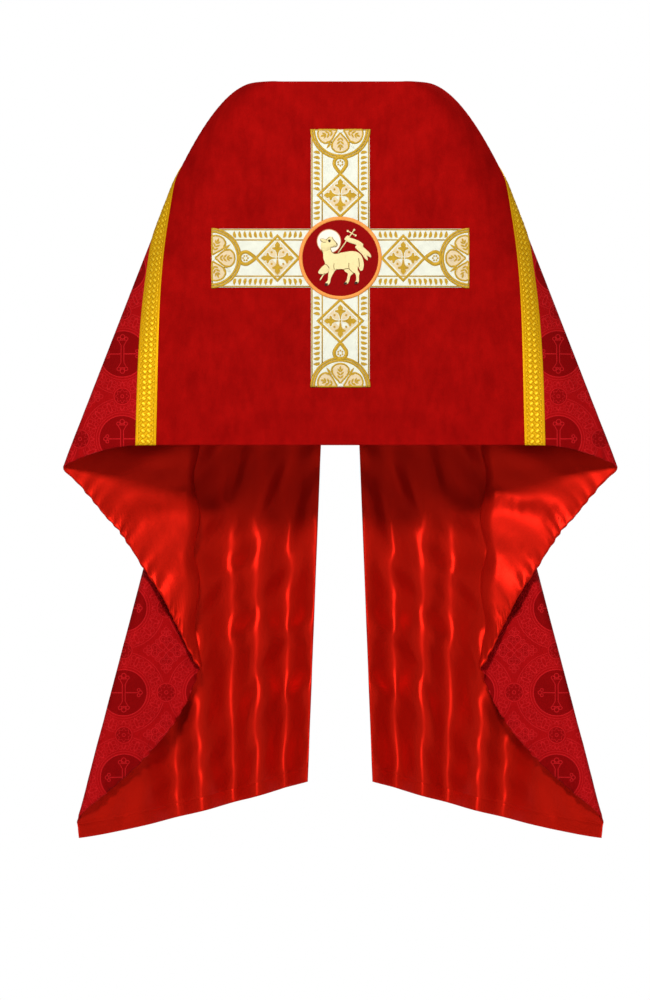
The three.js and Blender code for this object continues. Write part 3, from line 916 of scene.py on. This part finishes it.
def circle(x, z, radius, count=32, start=0.0, turn=2 * math.pi):
    whole = abs(turn) >= 2 * math.pi - 1e-6
    steps = count if whole else count + 1
    return [
        (x + radius * math.cos(start + turn * k / count), z + radius * math.sin(start + turn * k / count))
        for k in range(steps)
    ]


def leaf(x, z, angle, size, width, bend=0.0, count=7):
    """A pointed leaf from its root at x, z along angle."""
    side = []
    for k in range(count + 1):
        t = k / count
        side.append((t * size, width * math.sin(math.pi * t) ** 0.8 * (1 - 0.35 * t)))
    outline = side + [(s, -w) for s, w in reversed(side[1:-1])]
    placed_outline = []
    for s, w in outline:
        c, n = math.cos(angle + bend * s / size), math.sin(angle + bend * s / size)
        placed_outline.append((x + s * c - w * n, z + s * n + w * c))
    return placed_outline


def smooth_line(points, closed=True, steps=4):
    """A Catmull-Rom curve through the points."""
    count = len(points)
    found = []
    last = count if closed else count - 1
    for k in range(last):
        pick = lambda i: np.array(points[i % count] if closed else points[min(max(i, 0), count - 1)], float)
        p0, p1, p2, p3 = (pick(k + i) for i in (-1, 0, 1, 2))
        for s in range(steps):
            t = s / steps
            found.append(0.5 * (2 * p1 + (p2 - p0) * t + (2 * p0 - 5 * p1 + 4 * p2 - p3) * t * t
                                + (3 * p1 - p0 - 3 * p2 + p3) * t ** 3))
    if not closed:
        found.append(np.array(points[-1], float))
    return [tuple(p) for p in found]


# ---- the cross's woven figure, in millimetres out from the cross centre ----
DIAMOND = 103.7
DIAMOND_ALONG = 36.3
DIAMOND_ACROSS = 38.0
BEAD = 156.4
BEAD_R = 10.2
ROUNDEL_R = 47.8
BORDER = 18.5
LEAF_PITCH = 8.6
FLEURY = 27.5               # reach of the small cross inside each diamond
PALMETTE_TURNS = (-1.22, 0, 1.22)
SPRAY_TURNS = (-0.62, 0.62)


def turned(lines, quarter):
    """Lines of one arm, drawn as (out, across) in millimetres, turned to one of the four arms."""
    turn = quarter * math.pi / 2
    c, s = math.cos(turn), math.sin(turn)
    return [[((a * c - b * s) * MM, (a * s + b * c) * MM + CROSS_Z) for a, b in line] for line in lines]


def diamond(scale):
    return [
        (DIAMOND + DIAMOND_ALONG * scale, 0), (DIAMOND, DIAMOND_ACROSS * scale),
        (DIAMOND - DIAMOND_ALONG * scale, 0), (DIAMOND, -DIAMOND_ACROSS * scale),
    ]


def fleury(x, z, size):
    """A cross with flared arms that end in three lobes, as one outline for each arm."""
    arms = []
    for quarter in range(4):
        turn = quarter * math.pi / 2
        side = [
            (0.10, 0.03), (0.32, 0.06), (0.47, 0.14), (0.55, 0.32), (0.64, 0.31), (0.67, 0.13),
            (0.79, 0.17), (0.88, 0.11), (1.0, 0.0),
        ]
        outline = side + [(a, -b) for a, b in reversed(side[:-1])]
        c, s = math.cos(turn), math.sin(turn)
        arms.append([(x + size * (a * c - b * s), z + size * (a * s + b * c)) for a, b in outline])
    return arms


def palmette(angle):
    """A drop-shaped petal that grows from the middle of the arm's end, and the sprig inside it."""
    half = [(6.5, 0.0), (10.5, 3.6), (16.0, 8.6), (23.0, 13.2), (30.5, 13.6), (36.0, 8.6), (38.0, 3.2)]
    outline = half + [(a, -b) for a, b in reversed(half[1:])]
    c, s = math.cos(angle), math.sin(angle)
    place = lambda a, b: (CROSS_REACH / MM - (a * c - b * s), a * s + b * c)
    petal = smooth_line([place(a, b) for a, b in outline])
    sprig = []
    for root, spread, size in ((14.0, 0.75, 7.5), (19.5, 0.8, 8.5), (25.0, 0.7, 7.5)):
        for sign in (-1, 1):
            x, z = place(root, 0)
            sprig.append(leaf(x, z, math.pi - angle + sign * spread, size, 1.9))
    x, z = place(28.0, 0)
    sprig.append(leaf(x, z, math.pi - angle, 7.0, 2.1))
    return petal, sprig


def arm_lines():
    """One arm of the woven cross: cords, lobes, arcs, straight edges, gold fills and blush fields."""
    end = CROSS_REACH / MM
    half = sizes().band_width / MM / 2
    start = sizes().medallion_radius / MM - 8
    cords = [diamond(0.97), smooth_line(drop_outline())]
    lobes = []
    arcs = [circle(end, 0, radius, 40, math.pi / 2, math.pi) for radius in (ROUNDEL_R, ROUNDEL_R - 4.2)]
    fills = fleury(DIAMOND, 0, FLEURY)
    fills += [circle(DIAMOND + dx * 9.6, dz * 9.6, 1.9, 10) for dx in (-1, 1) for dz in (-1, 1)]
    sixths = [k * math.pi / 3 for k in range(6)]
    fills += [circle(BEAD + 4.0 * math.cos(turn), 4.0 * math.sin(turn), 1.6, 8) for turn in sixths]
    fills.append(circle(DIAMOND, 0, 1.7, 10))
    fields = [diamond(0.80)]
    within = lambda line: [(min(a, end - 1), b) for a, b in line]
    for angle in PALMETTE_TURNS:
        petal, sprig = palmette(angle)
        fields.append(within(petal))
        lobes.append(within(petal))
        fills += [within(line) for line in sprig]
    for angle in SPRAY_TURNS:
        reach = 25.0
        x, z = end - reach * math.cos(angle), reach * math.sin(angle)
        for spread in (-0.75, 0, 0.75):
            fills.append(leaf(x, z, math.pi - angle + spread, 14.0 if spread == 0 else 10.5, 2.3))
    edges = []
    for sign in (-1, 1):
        edges.append([(half - 1.6, sign * (half - 1.6)), (end, sign * (half - 1.6))])
        reach = end - math.sqrt(ROUNDEL_R ** 2 - (half - BORDER) ** 2) - 2
        edges.append([(start, sign * (half - BORDER)), (reach, sign * (half - BORDER))])
        count = int((end - 34 - start) / LEAF_PITCH)
        for k in range(count):
            x = start + 8 + k * LEAF_PITCH
            away = 1 if x > DIAMOND else -1
            if abs(x - DIAMOND) < LEAF_PITCH * 0.7:
                continue
            slant = math.pi / 2 * (1 - 0.55 * away)
            z = sign * (half - 14.6)
            fills.append(leaf(x, z, sign * slant, 11.5, 3.3, bend=sign * away * 0.6))
    edges.append([(end - 1.2, -half + 1), (end - 1.2, half - 1)])
    return cords, lobes, arcs, edges, fills, fields


def drop_outline():
    """The bead between diamond and roundel: a ring drawn to a point at the diamond."""
    points = [(BEAD - 15.4, 0)]
    for k in range(9):
        angle = math.pi - 0.85 - k * (2 * math.pi - 1.7) / 8
        points.append((BEAD + BEAD_R * math.cos(angle), BEAD_R * math.sin(angle)))
    return points


def join(pieces, name):
    bpy.ops.object.select_all(action="DESELECT")
    for piece in pieces:
        piece.select_set(True)
    bpy.context.view_layer.objects.active = pieces[0]
    bpy.ops.object.join()
    joined = bpy.context.object
    joined.name = name
    joined.data.name = name
    return joined


# ---- operators: one for each piece or group of like pieces ----
CAMERA_DISTANCE = 14.0
CAMERA_HEIGHT = 1.648       # height of what the camera sees at the veil
CAMERA_ASIDE = -0.0253
CAMERA_DROP = 0.692
FLOOR_SIZE = 4.2
FLOOR_DROP = 0.42           # the floor lies this far below the hems
FLOOR_TONE = 0.84
LAMP_AIM = np.array([0, 0.08, -0.6])
LAMPS = (                   # name, place, size, power
    ("key", (-0.45, -3.3, 1.5), 0.6, 225),
    ("fill", (2.0, -3.6, 1.5), 1.6, 18),
    ("front", (0.9, 3.2, 1.9), 1.2, 150),
)


class VEIL_OT_camera(bpy.types.Operator):
    """Add the camera straight behind the veil"""

    bl_idname = "veil.camera"
    bl_label = "Camera"

    def execute(self, context):
        low, high = CAD_BOX
        camera = add_object("camera", bpy.data.cameras.new("camera"))
        camera.data.sensor_fit = "VERTICAL"
        camera.data.angle = 2 * math.atan(CAMERA_HEIGHT / 2 / CAMERA_DISTANCE)
        camera.location = (CAMERA_ASIDE, low[1] - CAMERA_DISTANCE, high[2] - CAMERA_DROP)
        camera.rotation_euler = (math.pi / 2, 0, 0)
        camera.data.clip_end = 50
        context.scene.camera = camera
        return {"FINISHED"}


class VEIL_OT_stage(bpy.types.Operator):
    """Add the pale floor, the soft lights and a pale horizon that darkens overhead"""

    bl_idname = "veil.stage"
    bl_label = "Stage"

    def execute(self, context):
        scene = context.scene
        scene.view_settings.view_transform = "Standard"
        world = bpy.data.worlds.new("surroundings")
        world.use_nodes = True
        tree = world.node_tree
        background = tree.nodes["Background"]
        background.inputs["Color"].default_value = (1, 1, 1, 1)
        texture = tree.nodes.new("ShaderNodeTexCoord")
        split = tree.nodes.new("ShaderNodeSeparateXYZ")
        tree.links.new(texture.outputs["Generated"], split.inputs[0])
        height = Term(tree, split.outputs["Z"])
        above = (height / 0.06 - 1.3).node("ADD", 0, clamp=True)
        below = (height / -0.08 - 1.0).node("ADD", 0, clamp=True)
        strength = above * -0.88 - below * 0.66 + 1.0
        tree.links.new(strength.value, background.inputs["Strength"])
        scene.world = world
        bpy.ops.object.select_all(action="DESELECT")
        bpy.ops.mesh.primitive_plane_add(size=FLOOR_SIZE, location=(0, 0, CAD_BOX[0][2] - FLOOR_DROP))
        floor = bpy.context.object
        floor.name = "floor"
        bpy.ops.object.transform_apply(location=True, rotation=True, scale=True)
        material, tree, shader = new_material("pale_floor", [FLOOR_TONE] * 3, 0.9, Specular_IOR_Level=0.05)
        vector, _ = coordinates(tree, "object")
        tone = noise(tree, vector, 3)
        rough = tone * 0.1 + 0.75
        tree.links.new(rough.value, shader.inputs["Roughness"])
        floor.data.materials.append(material)
        for name, place, size, power in LAMPS:
            light = bpy.data.lights.new(name, "AREA")
            light.shape = "DISK"
            light.size = size
            light.energy = power
            lamp = add_object(name, light)
            lamp.location = place
            aim = LAMP_AIM - np.array(place)
            lamp.rotation_euler = (
                math.atan2(math.hypot(aim[0], aim[1]), -aim[2]), 0, math.atan2(aim[1], aim[0]) - math.pi / 2)
        return {"FINISHED"}


class VEIL_OT_velvet(bpy.types.Operator):
    """Make the velvet back panel in two halves, each running over its shoulder"""

    bl_idname = "veil.velvet"
    bl_label = "Velvet panel"

    def execute(self, context):
        step = sizes().cloth_step
        drape = Drape(row_shares(step))
        shares = np.linspace(0, 1, int(SEAM_HIGH / step) + 1)
        for side in SIDES:
            piece = make_sheet(
                "velvet_half", side, drape, lambda v, marks: shares * (seam(v) - SEAM_GAP), OUTER,
                hem_rolled=False)
            finish_piece(piece, finish_for("velvet", velvet_material), None, "velvet")
            bend_over_ridge(piece)
            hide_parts("velvet_back_panel", f"{side}_velvet_shoulder_front")
        return {"FINISHED"}


def fall_stations(first, step, spare=0.0):
    """Distances along a thread from first(v) to the hem less spare, with the same columns on each crease."""
    depth = sizes().depth
    counts = [int(share * depth / step) for share in (0.75, 0.68, 0.52, 1.50)]
    run = lambda start, end, count: np.linspace(start, end, count + 1)[:-1]

    def stations(v, marks):
        _, back, ridge, crease, turn, low, total = marks
        start = first(v)
        early, late = crease - CREASE_STEPS[::-1], crease + CREASE_STEPS
        if start > 0:
            head = [run(start, early[0], counts[0] + counts[1])]
        else:
            head = [run(start, back, counts[0]), run(back, ridge, 10), run(ridge, early[0], counts[1])]
        last = total - spare - EDGE_STEPS[::-1]
        stitch = total - STITCH_STEPS[::-1]
        tail = [
            run(late[-1], turn, counts[2]), run(turn, low, 10), run(low, stitch[0], counts[3]),
            stitch, run(stitch[-1] + 0.004, last[0], 4), last,
        ]
        return np.concatenate([*head, early, [crease], late[:-1], *tail])

    return stations


class VEIL_OT_damask(bpy.types.Operator):
    """Make the two damask wings from the seam over the ridge to the hem"""

    bl_idname = "veil.damask"
    bl_label = "Damask wings"

    def execute(self, context):
        step = sizes().cloth_step
        drape = Drape(row_shares(step))
        stations = fall_stations(lambda v: seam(v) + SEAM_GAP, step)
        for side in SIDES:
            piece = make_sheet("damask_wing", side, drape, stations, OUTER)
            finish_piece(piece, finish_for("damask", damask_material), None, "damask")
            bend_over_ridge(piece)
            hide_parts(f"{side}_damask_back_wing", f"{side}_damask_fall")
        return {"FINISHED"}


class VEIL_OT_lining(bpy.types.Operator):
    """Make the satin lining and the interlining of both halves"""

    bl_idname = "veil.lining"
    bl_label = "Lining and interlining"

    def execute(self, context):
        step = sizes().cloth_step
        shares = row_shares(step)
        inner = shares[(shares > CORE_MARGIN) & (shares < 1 - CORE_MARGIN)]
        makes = (
            ("interlining", Drape(inner), CORE, "canvas", canvas_material),
            ("lining", Drape(shares), LINING, "satin", satin_material),
        )
        for side in SIDES:
            for name, cloth, offsets, key, maker in makes:
                spare = CORE_MARGIN * sizes().depth if name == "interlining" else 0.0
                stations = fall_stations(lambda v: 0.0, step, spare)
                piece = make_sheet(name, side, cloth, stations, offsets)
                finish_piece(piece, finish_for(key, maker), None, name)
                bend_over_ridge(piece)
                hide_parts(f"back_{name}", f"{side}_fall_{name}")
        return {"FINISHED"}


def braid(across, along):
    """Height of the galloon from 0 to 1: slanting strands between two plain selvages, in millimetres."""
    width = sizes().galloon_width / MM
    side = np.abs(across)
    selvage = width / 2 - BRAID_SELVAGE
    first = (across + along) / BRAID_PITCH
    second = (across - along) / BRAID_PITCH
    over = (np.floor(first) + np.floor(second)) % 2 < 1
    upper = 0.45 + 0.55 * np.sin(np.pi * (first % 1)) ** 0.5
    lower = 0.62 * np.sin(np.pi * (second % 1)) ** 0.7
    middle = np.where(over, upper, lower)
    cord = 0.4 * smooth((side - selvage) / 0.8)
    return np.where(side < selvage, middle, cord * (1 - smooth((side - width / 2 + 0.8) / 0.8)))


class VEIL_OT_galloons(bpy.types.Operator):
    """Make the two gold galloons over the seams, with their strands raised"""

    bl_idname = "veil.galloons"
    bl_label = "Galloons"

    def execute(self, context):
        step = sizes().braid_step
        width = sizes().galloon_width
        drape = Drape(np.linspace(0, 1, int(sizes().depth / step)))
        offsets = np.linspace(-width / 2, width / 2, int(width / step) + 1)
        for side in SIDES:
            points, along = drape.grid(lambda v, marks: seam(v) + offsets)
            direction = normals(points)
            v = np.repeat(drape.shares[:, None], len(offsets), axis=1)
            height = braid(np.repeat(offsets[None, :], len(v), axis=0) / MM, v * sizes().depth / MM)
            wave, _ = ease(points, along, drape)
            close = roll(v * sizes().depth) * roll((1 - v) * sizes().depth)
            lift = (TRIM[0] + (0.0005 + 0.0009 * height)) * close + 0.0012 * (1 - close) + wave
            under = (TRIM[0] - 0.0002) * close + 0.0008 * (1 - close) + wave
            cloth = np.stack([np.repeat(offsets[None, :], len(v), axis=0), v * sizes().depth], axis=-1)
            outer = points + direction * lift[..., None]
            inner = points + direction * under[..., None]
            piece = sheet_mesh(f"{side}_galloon", outer, inner, cloth, SIDES[side])
            finish_piece(piece, finish_for("galloon", galloon_material), None, "galloon")
            bend_over_ridge(piece)
            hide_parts(f"{side}_galloon_back", f"{side}_galloon_front")
        return {"FINISHED"}


class VEIL_OT_orphrey(bpy.types.Operator):
    """Finish the woven cross bands and add their gold figure"""

    bl_idname = "veil.orphrey"
    bl_label = "Cross bands"

    def execute(self, context):
        for node in ("orphrey_upright", "left_orphrey_arm", "right_orphrey_arm"):
            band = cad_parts[node]
            band.data.materials.clear()
            band.data.materials.append(finish_for("band", band_material))
        face = BAND_FACE - BAND_THICK
        gold = gold_thread()
        blush = thread(
            "blush_weave", colours().blush, darker(colours().blush, 0.8), roughness=0.55, pitch=0.6)
        for quarter, place in enumerate(("right", "top", "left", "bottom")):
            cords, lobes, arcs, edges, fills, fields = arm_lines()
            figure = [
                stitched_shape("cords", turned(cords, quarter), face, 0.0009, width=0.0060),
                stitched_shape("lobes", turned(lobes, quarter), face, 0.0007, width=0.0031),
                stitched_shape("arcs", turned(arcs, quarter), face, 0.0008, closed=False, width=0.0040),
                stitched_shape("edges", turned(edges, quarter), face, 0.0005, closed=False, width=0.0022),
                stitched_shape("fills", turned(fills, quarter), face - 0.0001, 0.0004, bevel=0.0001),
            ]
            piece = join(figure, f"orphrey_figure_{place}")
            finish_piece(piece, gold, "back", "orphrey")
            piece = stitched_shape(f"orphrey_field_{place}", turned(fields, quarter), face, 0.0002)
            finish_piece(piece, blush, "back", "orphrey")
            rims = stitched_shape(
                "white_rims", turned(fleury(DIAMOND, 0, FLEURY), quarter), face - 0.0002, 0.0001, grow=0.0011)
            white = [rims, stitched_shape(
                "boss", turned([circle(CROSS_REACH / MM - 1, 0, 4.6, 20, math.pi / 2, math.pi)], quarter),
                face - 0.0002, 0.0008)]
            ivory = finish_for("band", band_material)
            finish_piece(join(white, f"orphrey_white_{place}"), ivory, "back", "orphrey")
        return {"FINISHED"}


# the lamb's outlines, in millimetres about the cross centre
LAMB = [
    (-31, 17), (-28.6, 8), (-28, -1), (-25.5, -8), (-26, -11), (-31, -15), (-36.6, -23), (-34.4, -26.3),
    (-29.5, -27), (-33.9, -35.3), (-32.1, -36), (-26.8, -27.7), (-20.5, -24), (-19.4, -21), (-20.1, -28.6),
    (-21, -36.6), (-24.6, -40.6), (-25.4, -44), (-21.9, -45), (-17.4, -42), (-15.6, -34), (-12.1, -26.8),
    (-7.6, -19.8), (-2.2, -18.8), (4.9, -18.8), (7.6, -22.3), (12.1, -25.9), (11.2, -32.1), (9.8, -37.5),
    (6.3, -40.8), (6.9, -43), (12.1, -42.4), (15.2, -36.6), (16.5, -30.4), (20.5, -26.3), (23.7, -25),
    (25.9, -30.4), (25.9, -36.6), (23.7, -40.4), (24.4, -42.6), (28.6, -41.6), (30.8, -37.5), (30.8, -30.4),
    (31.7, -25), (28.9, -19.6), (29.2, -14), (31.3, -18.8), (34.4, -21.4), (37.5, -18.8), (38.8, -11.6),
    (37.5, -2.7), (34.4, 4.5), (28.1, 9.8), (19.2, 11.6), (9.4, 10.3), (1.3, 8.9), (-4, 7.6), (-10.3, 7.1),
    (-13.8, 10.7), (-16.5, 18), (-24, 22),
]
HEAD = [
    (-31.6, 14), (-32.1, 22.3), (-30.5, 27), (-26, 30), (-21.9, 32.3), (-18.3, 35.3), (-13.5, 34.2),
    (-8.5, 28.2), (-4.4, 23.6), (-5, 20), (-9.4, 17.9), (-14, 17.4), (-17, 15), (-22, 12), (-27, 11),
]
EAR = [(-33.8, 31), (-28.1, 32), (-23, 29.4), (-23.2, 26.3), (-28.1, 26.2)]
BANNER = [
    (12.1, 37.5), (6.7, 31.3), (10.3, 27.7), (16.5, 25), (26.3, 21.4), (24.1, 17.9), (29.9, 11.6),
    (36.2, 5.4), (40.6, -0.9), (44.7, -4), (45.3, -0.9), (43.8, 3.6), (49.6, 0.9), (50.9, 2.6), (48.7, 8),
    (43.3, 13.4), (37.5, 18.8), (37.5, 23.2), (29.9, 28.6), (21, 32.1), (15.6, 33.9),
]
LAMB_LINES = [
    [(-25.5, -9.8), (-21.5, -12.2), (-18.3, -17)], [(-10.3, -8.9), (-10.9, -14), (-9.8, -19)],
    [(14, -8), (14.3, -17), (18, -21.5), (22, -25)], [(29.9, 0), (31, -7), (31.3, -14.3)],
    [(5.8, -18.6), (9, -17.5), (13.5, -17.2)],
    [(-16.3, 16.6), (-14.8, 11.5), (-12, 8.2), (-7, 7.3), (-1, 8.4)],
    [(-31.5, 18), (-30.5, 13), (-28.6, 8)], [(-34.8, -26.4), (-29.5, -27.2), (-25.5, -25)],
    [(24.1, 17.9), (28, 20), (33, 18)], [(7.3, 31.6), (11.5, 30.2)],
]
FACE_LINES = [
    [(-13.5, 34.4), (-11.5, 30.5), (-6.3, 24.6), (-4.9, 21.3), (-8.5, 18.3)],
    [(-16.5, 18), (-12.5, 18.3), (-8.8, 20.3)], [(-23.5, 29.6), (-21, 32.2), (-17.8, 34.8)],
    [(-23.2, 26.5), (-28, 26), (-33.4, 30.6), (-28.3, 31.8), (-23.4, 29.4)],
    [(-20.6, 28.6), (-18, 30.5), (-15.4, 28.9)],
]
HOOVES = [
    [(-26.2, -44.8), (-21.6, -45.8), (-20.2, -42.2), (-24.8, -41)],
    [(5.6, -43.4), (11, -43), (10.6, -40), (6.6, -39.8)],
    [(23, -43), (28.4, -42.4), (28.2, -39.2), (24.2, -39)],
]
HALO = (-18.8, 27.7)
HALO_R = 20.0
STAFF = [(-4, 8), (22.8, 46.4)]
STAFF_CROSS = [(12.1, 44.6), (25, 37.2)]
STAFF_ENDS = [STAFF[1], *STAFF_CROSS]
EYE = (-18.0, 27.9)
NOSTRIL = (-6.4, 23.2)
FELT_THICK = 0.0010
PAD_INSET = 0.7
HALO_RIM = (0.50, 0.25, 0.12)
HALO_RIM_DEEP = (0.38, 0.16, 0.07)
HOOF = (0.030, 0.016, 0.010)
HOOF_DEEP = (0.012, 0.007, 0.005)


def placed(lines):
    return [[(x * MM, z * MM + CROSS_Z) for x, z in line] for line in lines]


class VEIL_OT_medallion(bpy.types.Operator):
    """Make the medallion: felt ground, stitched ring, halo, lamb, staff and banner"""

    bl_idname = "veil.medallion"
    bl_label = "Medallion"

    def execute(self, context):
        radius = sizes().medallion_radius
        ring = sizes().ring_width
        disc = circle(0, CROSS_Z, radius - ring * 0.7, 96)
        ground = stitched_shape("medallion_felt", [disc], EMBLEM_FACE, 0.0008, bevel=0.0001)
        finish_piece(ground, finish_for("felt", felt_material), "back", "scarlet")
        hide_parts("medallion_ground")
        self.ring(radius - ring / 2, ring)
        face = EMBLEM_FACE - FELT_THICK
        disc = placed([circle(*HALO, HALO_R - 1, 48)])
        halo = stitched_shape("halo_disc", disc, face, 0.0005, bevel=0.0001)
        pale = thread("halo_thread", colours().halo, darker(colours().halo, 0.85), pitch=0.7)
        finish_piece(halo, pale, "back", "satin_thread")
        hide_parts("lamb_halo")
        edge = placed([circle(*HALO, HALO_R - 0.6, 48)])
        rim = stitched_shape("halo_rim", edge, face - 0.0004, 0.0005, width=0.0014)
        finish_piece(rim, thread("rim_thread", HALO_RIM, HALO_RIM_DEEP, pitch=0.6), "back", "satin_thread")
        rods = placed([STAFF, STAFF_CROSS])
        knobs = placed([circle(*end, 1.7, 10) for end in STAFF_ENDS])
        staff = join([
            stitched_shape("staff", rods, face - 0.0005, 0.0009, closed=False, width=0.0019),
            stitched_shape("staff_ends", knobs, face - 0.0002, 0.0010),
        ], "staff_and_cross")
        finish_piece(staff, cream_thread(), "back", "satin_thread")
        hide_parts("banner_staff")
        self.padded("lamb_body", LAMB, face - 0.0001, 0.0013, "cream_thread", ("lamb",))
        self.padded("lamb_face", HEAD, face - 0.0008, 0.0012, "cream_thread", ("lamb_head",))
        self.padded("lamb_ear", EAR, face - 0.0016, 0.0009, "cream_thread", ())
        self.padded("banner_cloth", BANNER, face - 0.0009, 0.0010, "cream_thread", ("lamb_banner",))
        top = face - 0.0019
        on_body, on_face = (
            placed([smooth_line(line, closed=False) for line in lines]) for lines in (LAMB_LINES, FACE_LINES))
        marks = join([
            stitched_shape("body_lines", on_body, face - 0.0013, 0.0005, closed=False, width=0.0011),
            stitched_shape("face_lines", on_face, top, 0.0005, closed=False, width=0.0009),
        ], "lamb_outlines")
        shading = thread("shading_thread", colours().outline, darker(colours().outline, 0.6), pitch=0.5)
        finish_piece(marks, shading, "back", "cream_thread")
        dots = placed([circle(*EYE, 2.0, 14), circle(*NOSTRIL, 0.7, 8)])
        dark = [
            stitched_shape("hooves", placed(HOOVES), face - 0.0012, 0.0005),
            stitched_shape("eye", dots, top, 0.0006),
        ]
        near_black = thread("dark_thread", HOOF, HOOF_DEEP, roughness=0.5, pitch=0.5)
        finish_piece(join(dark, "hooves_and_eye"), near_black, "back", "cream_thread")
        return {"FINISHED"}

    def padded(self, name, outline, face, height, slot, replaced):
        turns = [k * math.pi / 8 for k in range(4)]
        layers = [(face - height * math.sin(turn), PAD_INSET * (1 - math.cos(turn))) for turn in turns]
        piece = pillow(name, smooth_line(outline), layers)
        finish_piece(piece, cream_thread(), "back", slot)
        if replaced:
            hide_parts(*replaced)

    def ring(self, radius, width):
        bpy.ops.object.select_all(action="DESELECT")
        bpy.ops.mesh.primitive_torus_add(
            major_radius=radius, minor_radius=width / 2, major_segments=360, minor_segments=12,
            location=(0, EMBLEM_FACE, CROSS_Z), rotation=(math.pi / 2, 0, 0))
        piece = bpy.context.object
        piece.name = "medallion_stitching"
        bpy.ops.object.transform_apply(location=True, rotation=True, scale=True)
        bpy.ops.object.shade_smooth()
        mesh = piece.data
        points = np.array([vertex.co for vertex in mesh.vertices])
        angle = np.arctan2(points[:, 2] - CROSS_Z, points[:, 0])
        stitch = 1 - 0.16 * np.abs(np.sin(angle * 90))
        points[:, 1] = EMBLEM_FACE + (points[:, 1] - EMBLEM_FACE) * 0.62 * stitch
        mesh.vertices.foreach_set("co", points.ravel())
        mesh.update()
        finish_piece(piece, orange_thread(), "back", "satin_thread")
        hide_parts("medallion_ring")


def pillow(name, line, layers):
    """A padded outline: the outline repeated in layers that draw in towards the top, closed over."""
    points = np.array(line)
    if signed_area(points) < 0:
        points = points[::-1]
    before, after = np.roll(points, 1, axis=0), np.roll(points, -1, axis=0)
    tangent = after - before
    tangent = tangent / np.maximum(np.linalg.norm(tangent, axis=1, keepdims=True), 1e-9)
    inward = np.stack([-tangent[:, 1], tangent[:, 0]], axis=1)
    count = len(points)
    rings = []
    for y, inset in [(layers[0][0] + 0.0003, 0.0), *layers]:
        moved = (points + inward * inset) * MM
        rings.append(np.stack([moved[:, 0], np.full(count, y), moved[:, 1] + CROSS_Z], axis=1))
    vertices = np.concatenate(rings)
    faces = []
    for ring in range(len(rings) - 1):
        for k in range(count):
            n = (k + 1) % count
            faces.append((ring * count + k, ring * count + n, (ring + 1) * count + n, (ring + 1) * count + k))
    top = (len(rings) - 1) * count
    for a, b, c in tessellate_polygon([[Vector((x, z, 0)) for x, z in points]]):
        faces += [(top + a, top + b, top + c), (c, b, a)]
    mesh = bpy.data.meshes.new(name)
    mesh.from_pydata(vertices.tolist(), [], faces)
    mesh.update()
    piece = add_object(name, mesh)
    select_only(piece)
    bpy.ops.object.mode_set(mode="EDIT")
    bpy.ops.mesh.select_all(action="SELECT")
    bpy.ops.mesh.normals_make_consistent(inside=False)
    bpy.ops.object.mode_set(mode="OBJECT")
    bpy.ops.object.shade_smooth_by_angle(angle=math.radians(50))
    return piece


def signed_area(points):
    x, z = points[:, 0], points[:, 1]
    return 0.5 * float(np.sum(x * np.roll(z, -1) - np.roll(x, -1) * z))


class VEIL_OT_clasp(bpy.types.Operator):
    """Finish the breast clasp: round the edges of its plates, hook, rivet and stud"""

    bl_idname = "veil.clasp"
    bl_label = "Breast clasp"

    def execute(self, context):
        brass = finish_for("brass", brass_material)
        bodies = {
            "left_clasp_plate": "left_fall", "right_clasp_plate": "right_fall", "clasp_rivet": "left_fall",
            "clasp_stud": "right_fall", "clasp_hook": "clasp_hook",
        }
        for node, body in bodies.items():
            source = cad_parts[node]
            piece = add_object(f"{node}_rounded", source.data.copy())
            select_only(piece)
            bpy.ops.object.mode_set(mode="EDIT")
            bpy.ops.mesh.select_all(action="SELECT")
            bpy.ops.mesh.remove_doubles(threshold=1e-6)
            bpy.ops.mesh.dissolve_limited(angle_limit=math.radians(2))
            bpy.ops.object.mode_set(mode="OBJECT")
            bevel = piece.modifiers.new("round", "BEVEL")
            bevel.width = 0.0003
            bevel.segments = 2
            bevel.limit_method = "ANGLE"
            bevel.angle_limit = math.radians(40)
            bpy.ops.object.modifier_apply(modifier=bevel.name)
            bpy.ops.object.shade_smooth_by_angle(angle=math.radians(35))
            finish_piece(piece, brass, body, "brass")
            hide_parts(node)
        return {"FINISHED"}


OPERATORS = (
    VEIL_OT_camera, VEIL_OT_stage, VEIL_OT_velvet, VEIL_OT_damask, VEIL_OT_lining, VEIL_OT_galloons,
    VEIL_OT_orphrey, VEIL_OT_medallion, VEIL_OT_clasp,
)


class VEIL_PT_panel(bpy.types.Panel):
    """The veil's pieces, in the order in which they are made"""

    bl_idname = "VEIL_PT_panel"
    bl_label = "Humeral veil"
    bl_space_type = "VIEW_3D"
    bl_region_type = "UI"
    bl_category = "Veil"

    def draw(self, context):
        for group in (context.scene.veil_sizes, context.scene.veil_colours):
            for name in group.bl_rna.properties.keys():
                if name not in ("rna_type", "name"):
                    self.layout.prop(group, name)
        for operator in OPERATORS:
            self.layout.operator(operator.bl_idname)


CLASSES = (VeilSizes, VeilColours, *OPERATORS, VEIL_PT_panel)


def register():
    for item in CLASSES:
        bpy.utils.register_class(item)
    bpy.types.Scene.veil_sizes = bpy.props.PointerProperty(type=VeilSizes)
    bpy.types.Scene.veil_colours = bpy.props.PointerProperty(type=VeilColours)


def unregister():
    del bpy.types.Scene.veil_colours
    del bpy.types.Scene.veil_sizes
    for item in reversed(CLASSES):
        bpy.utils.unregister_class(item)


def main():
    register()
    for operator in OPERATORS:
        group, name = operator.bl_idname.split(".")
        getattr(getattr(bpy.ops, group), name)()


if __name__ == "__main__":
    main()
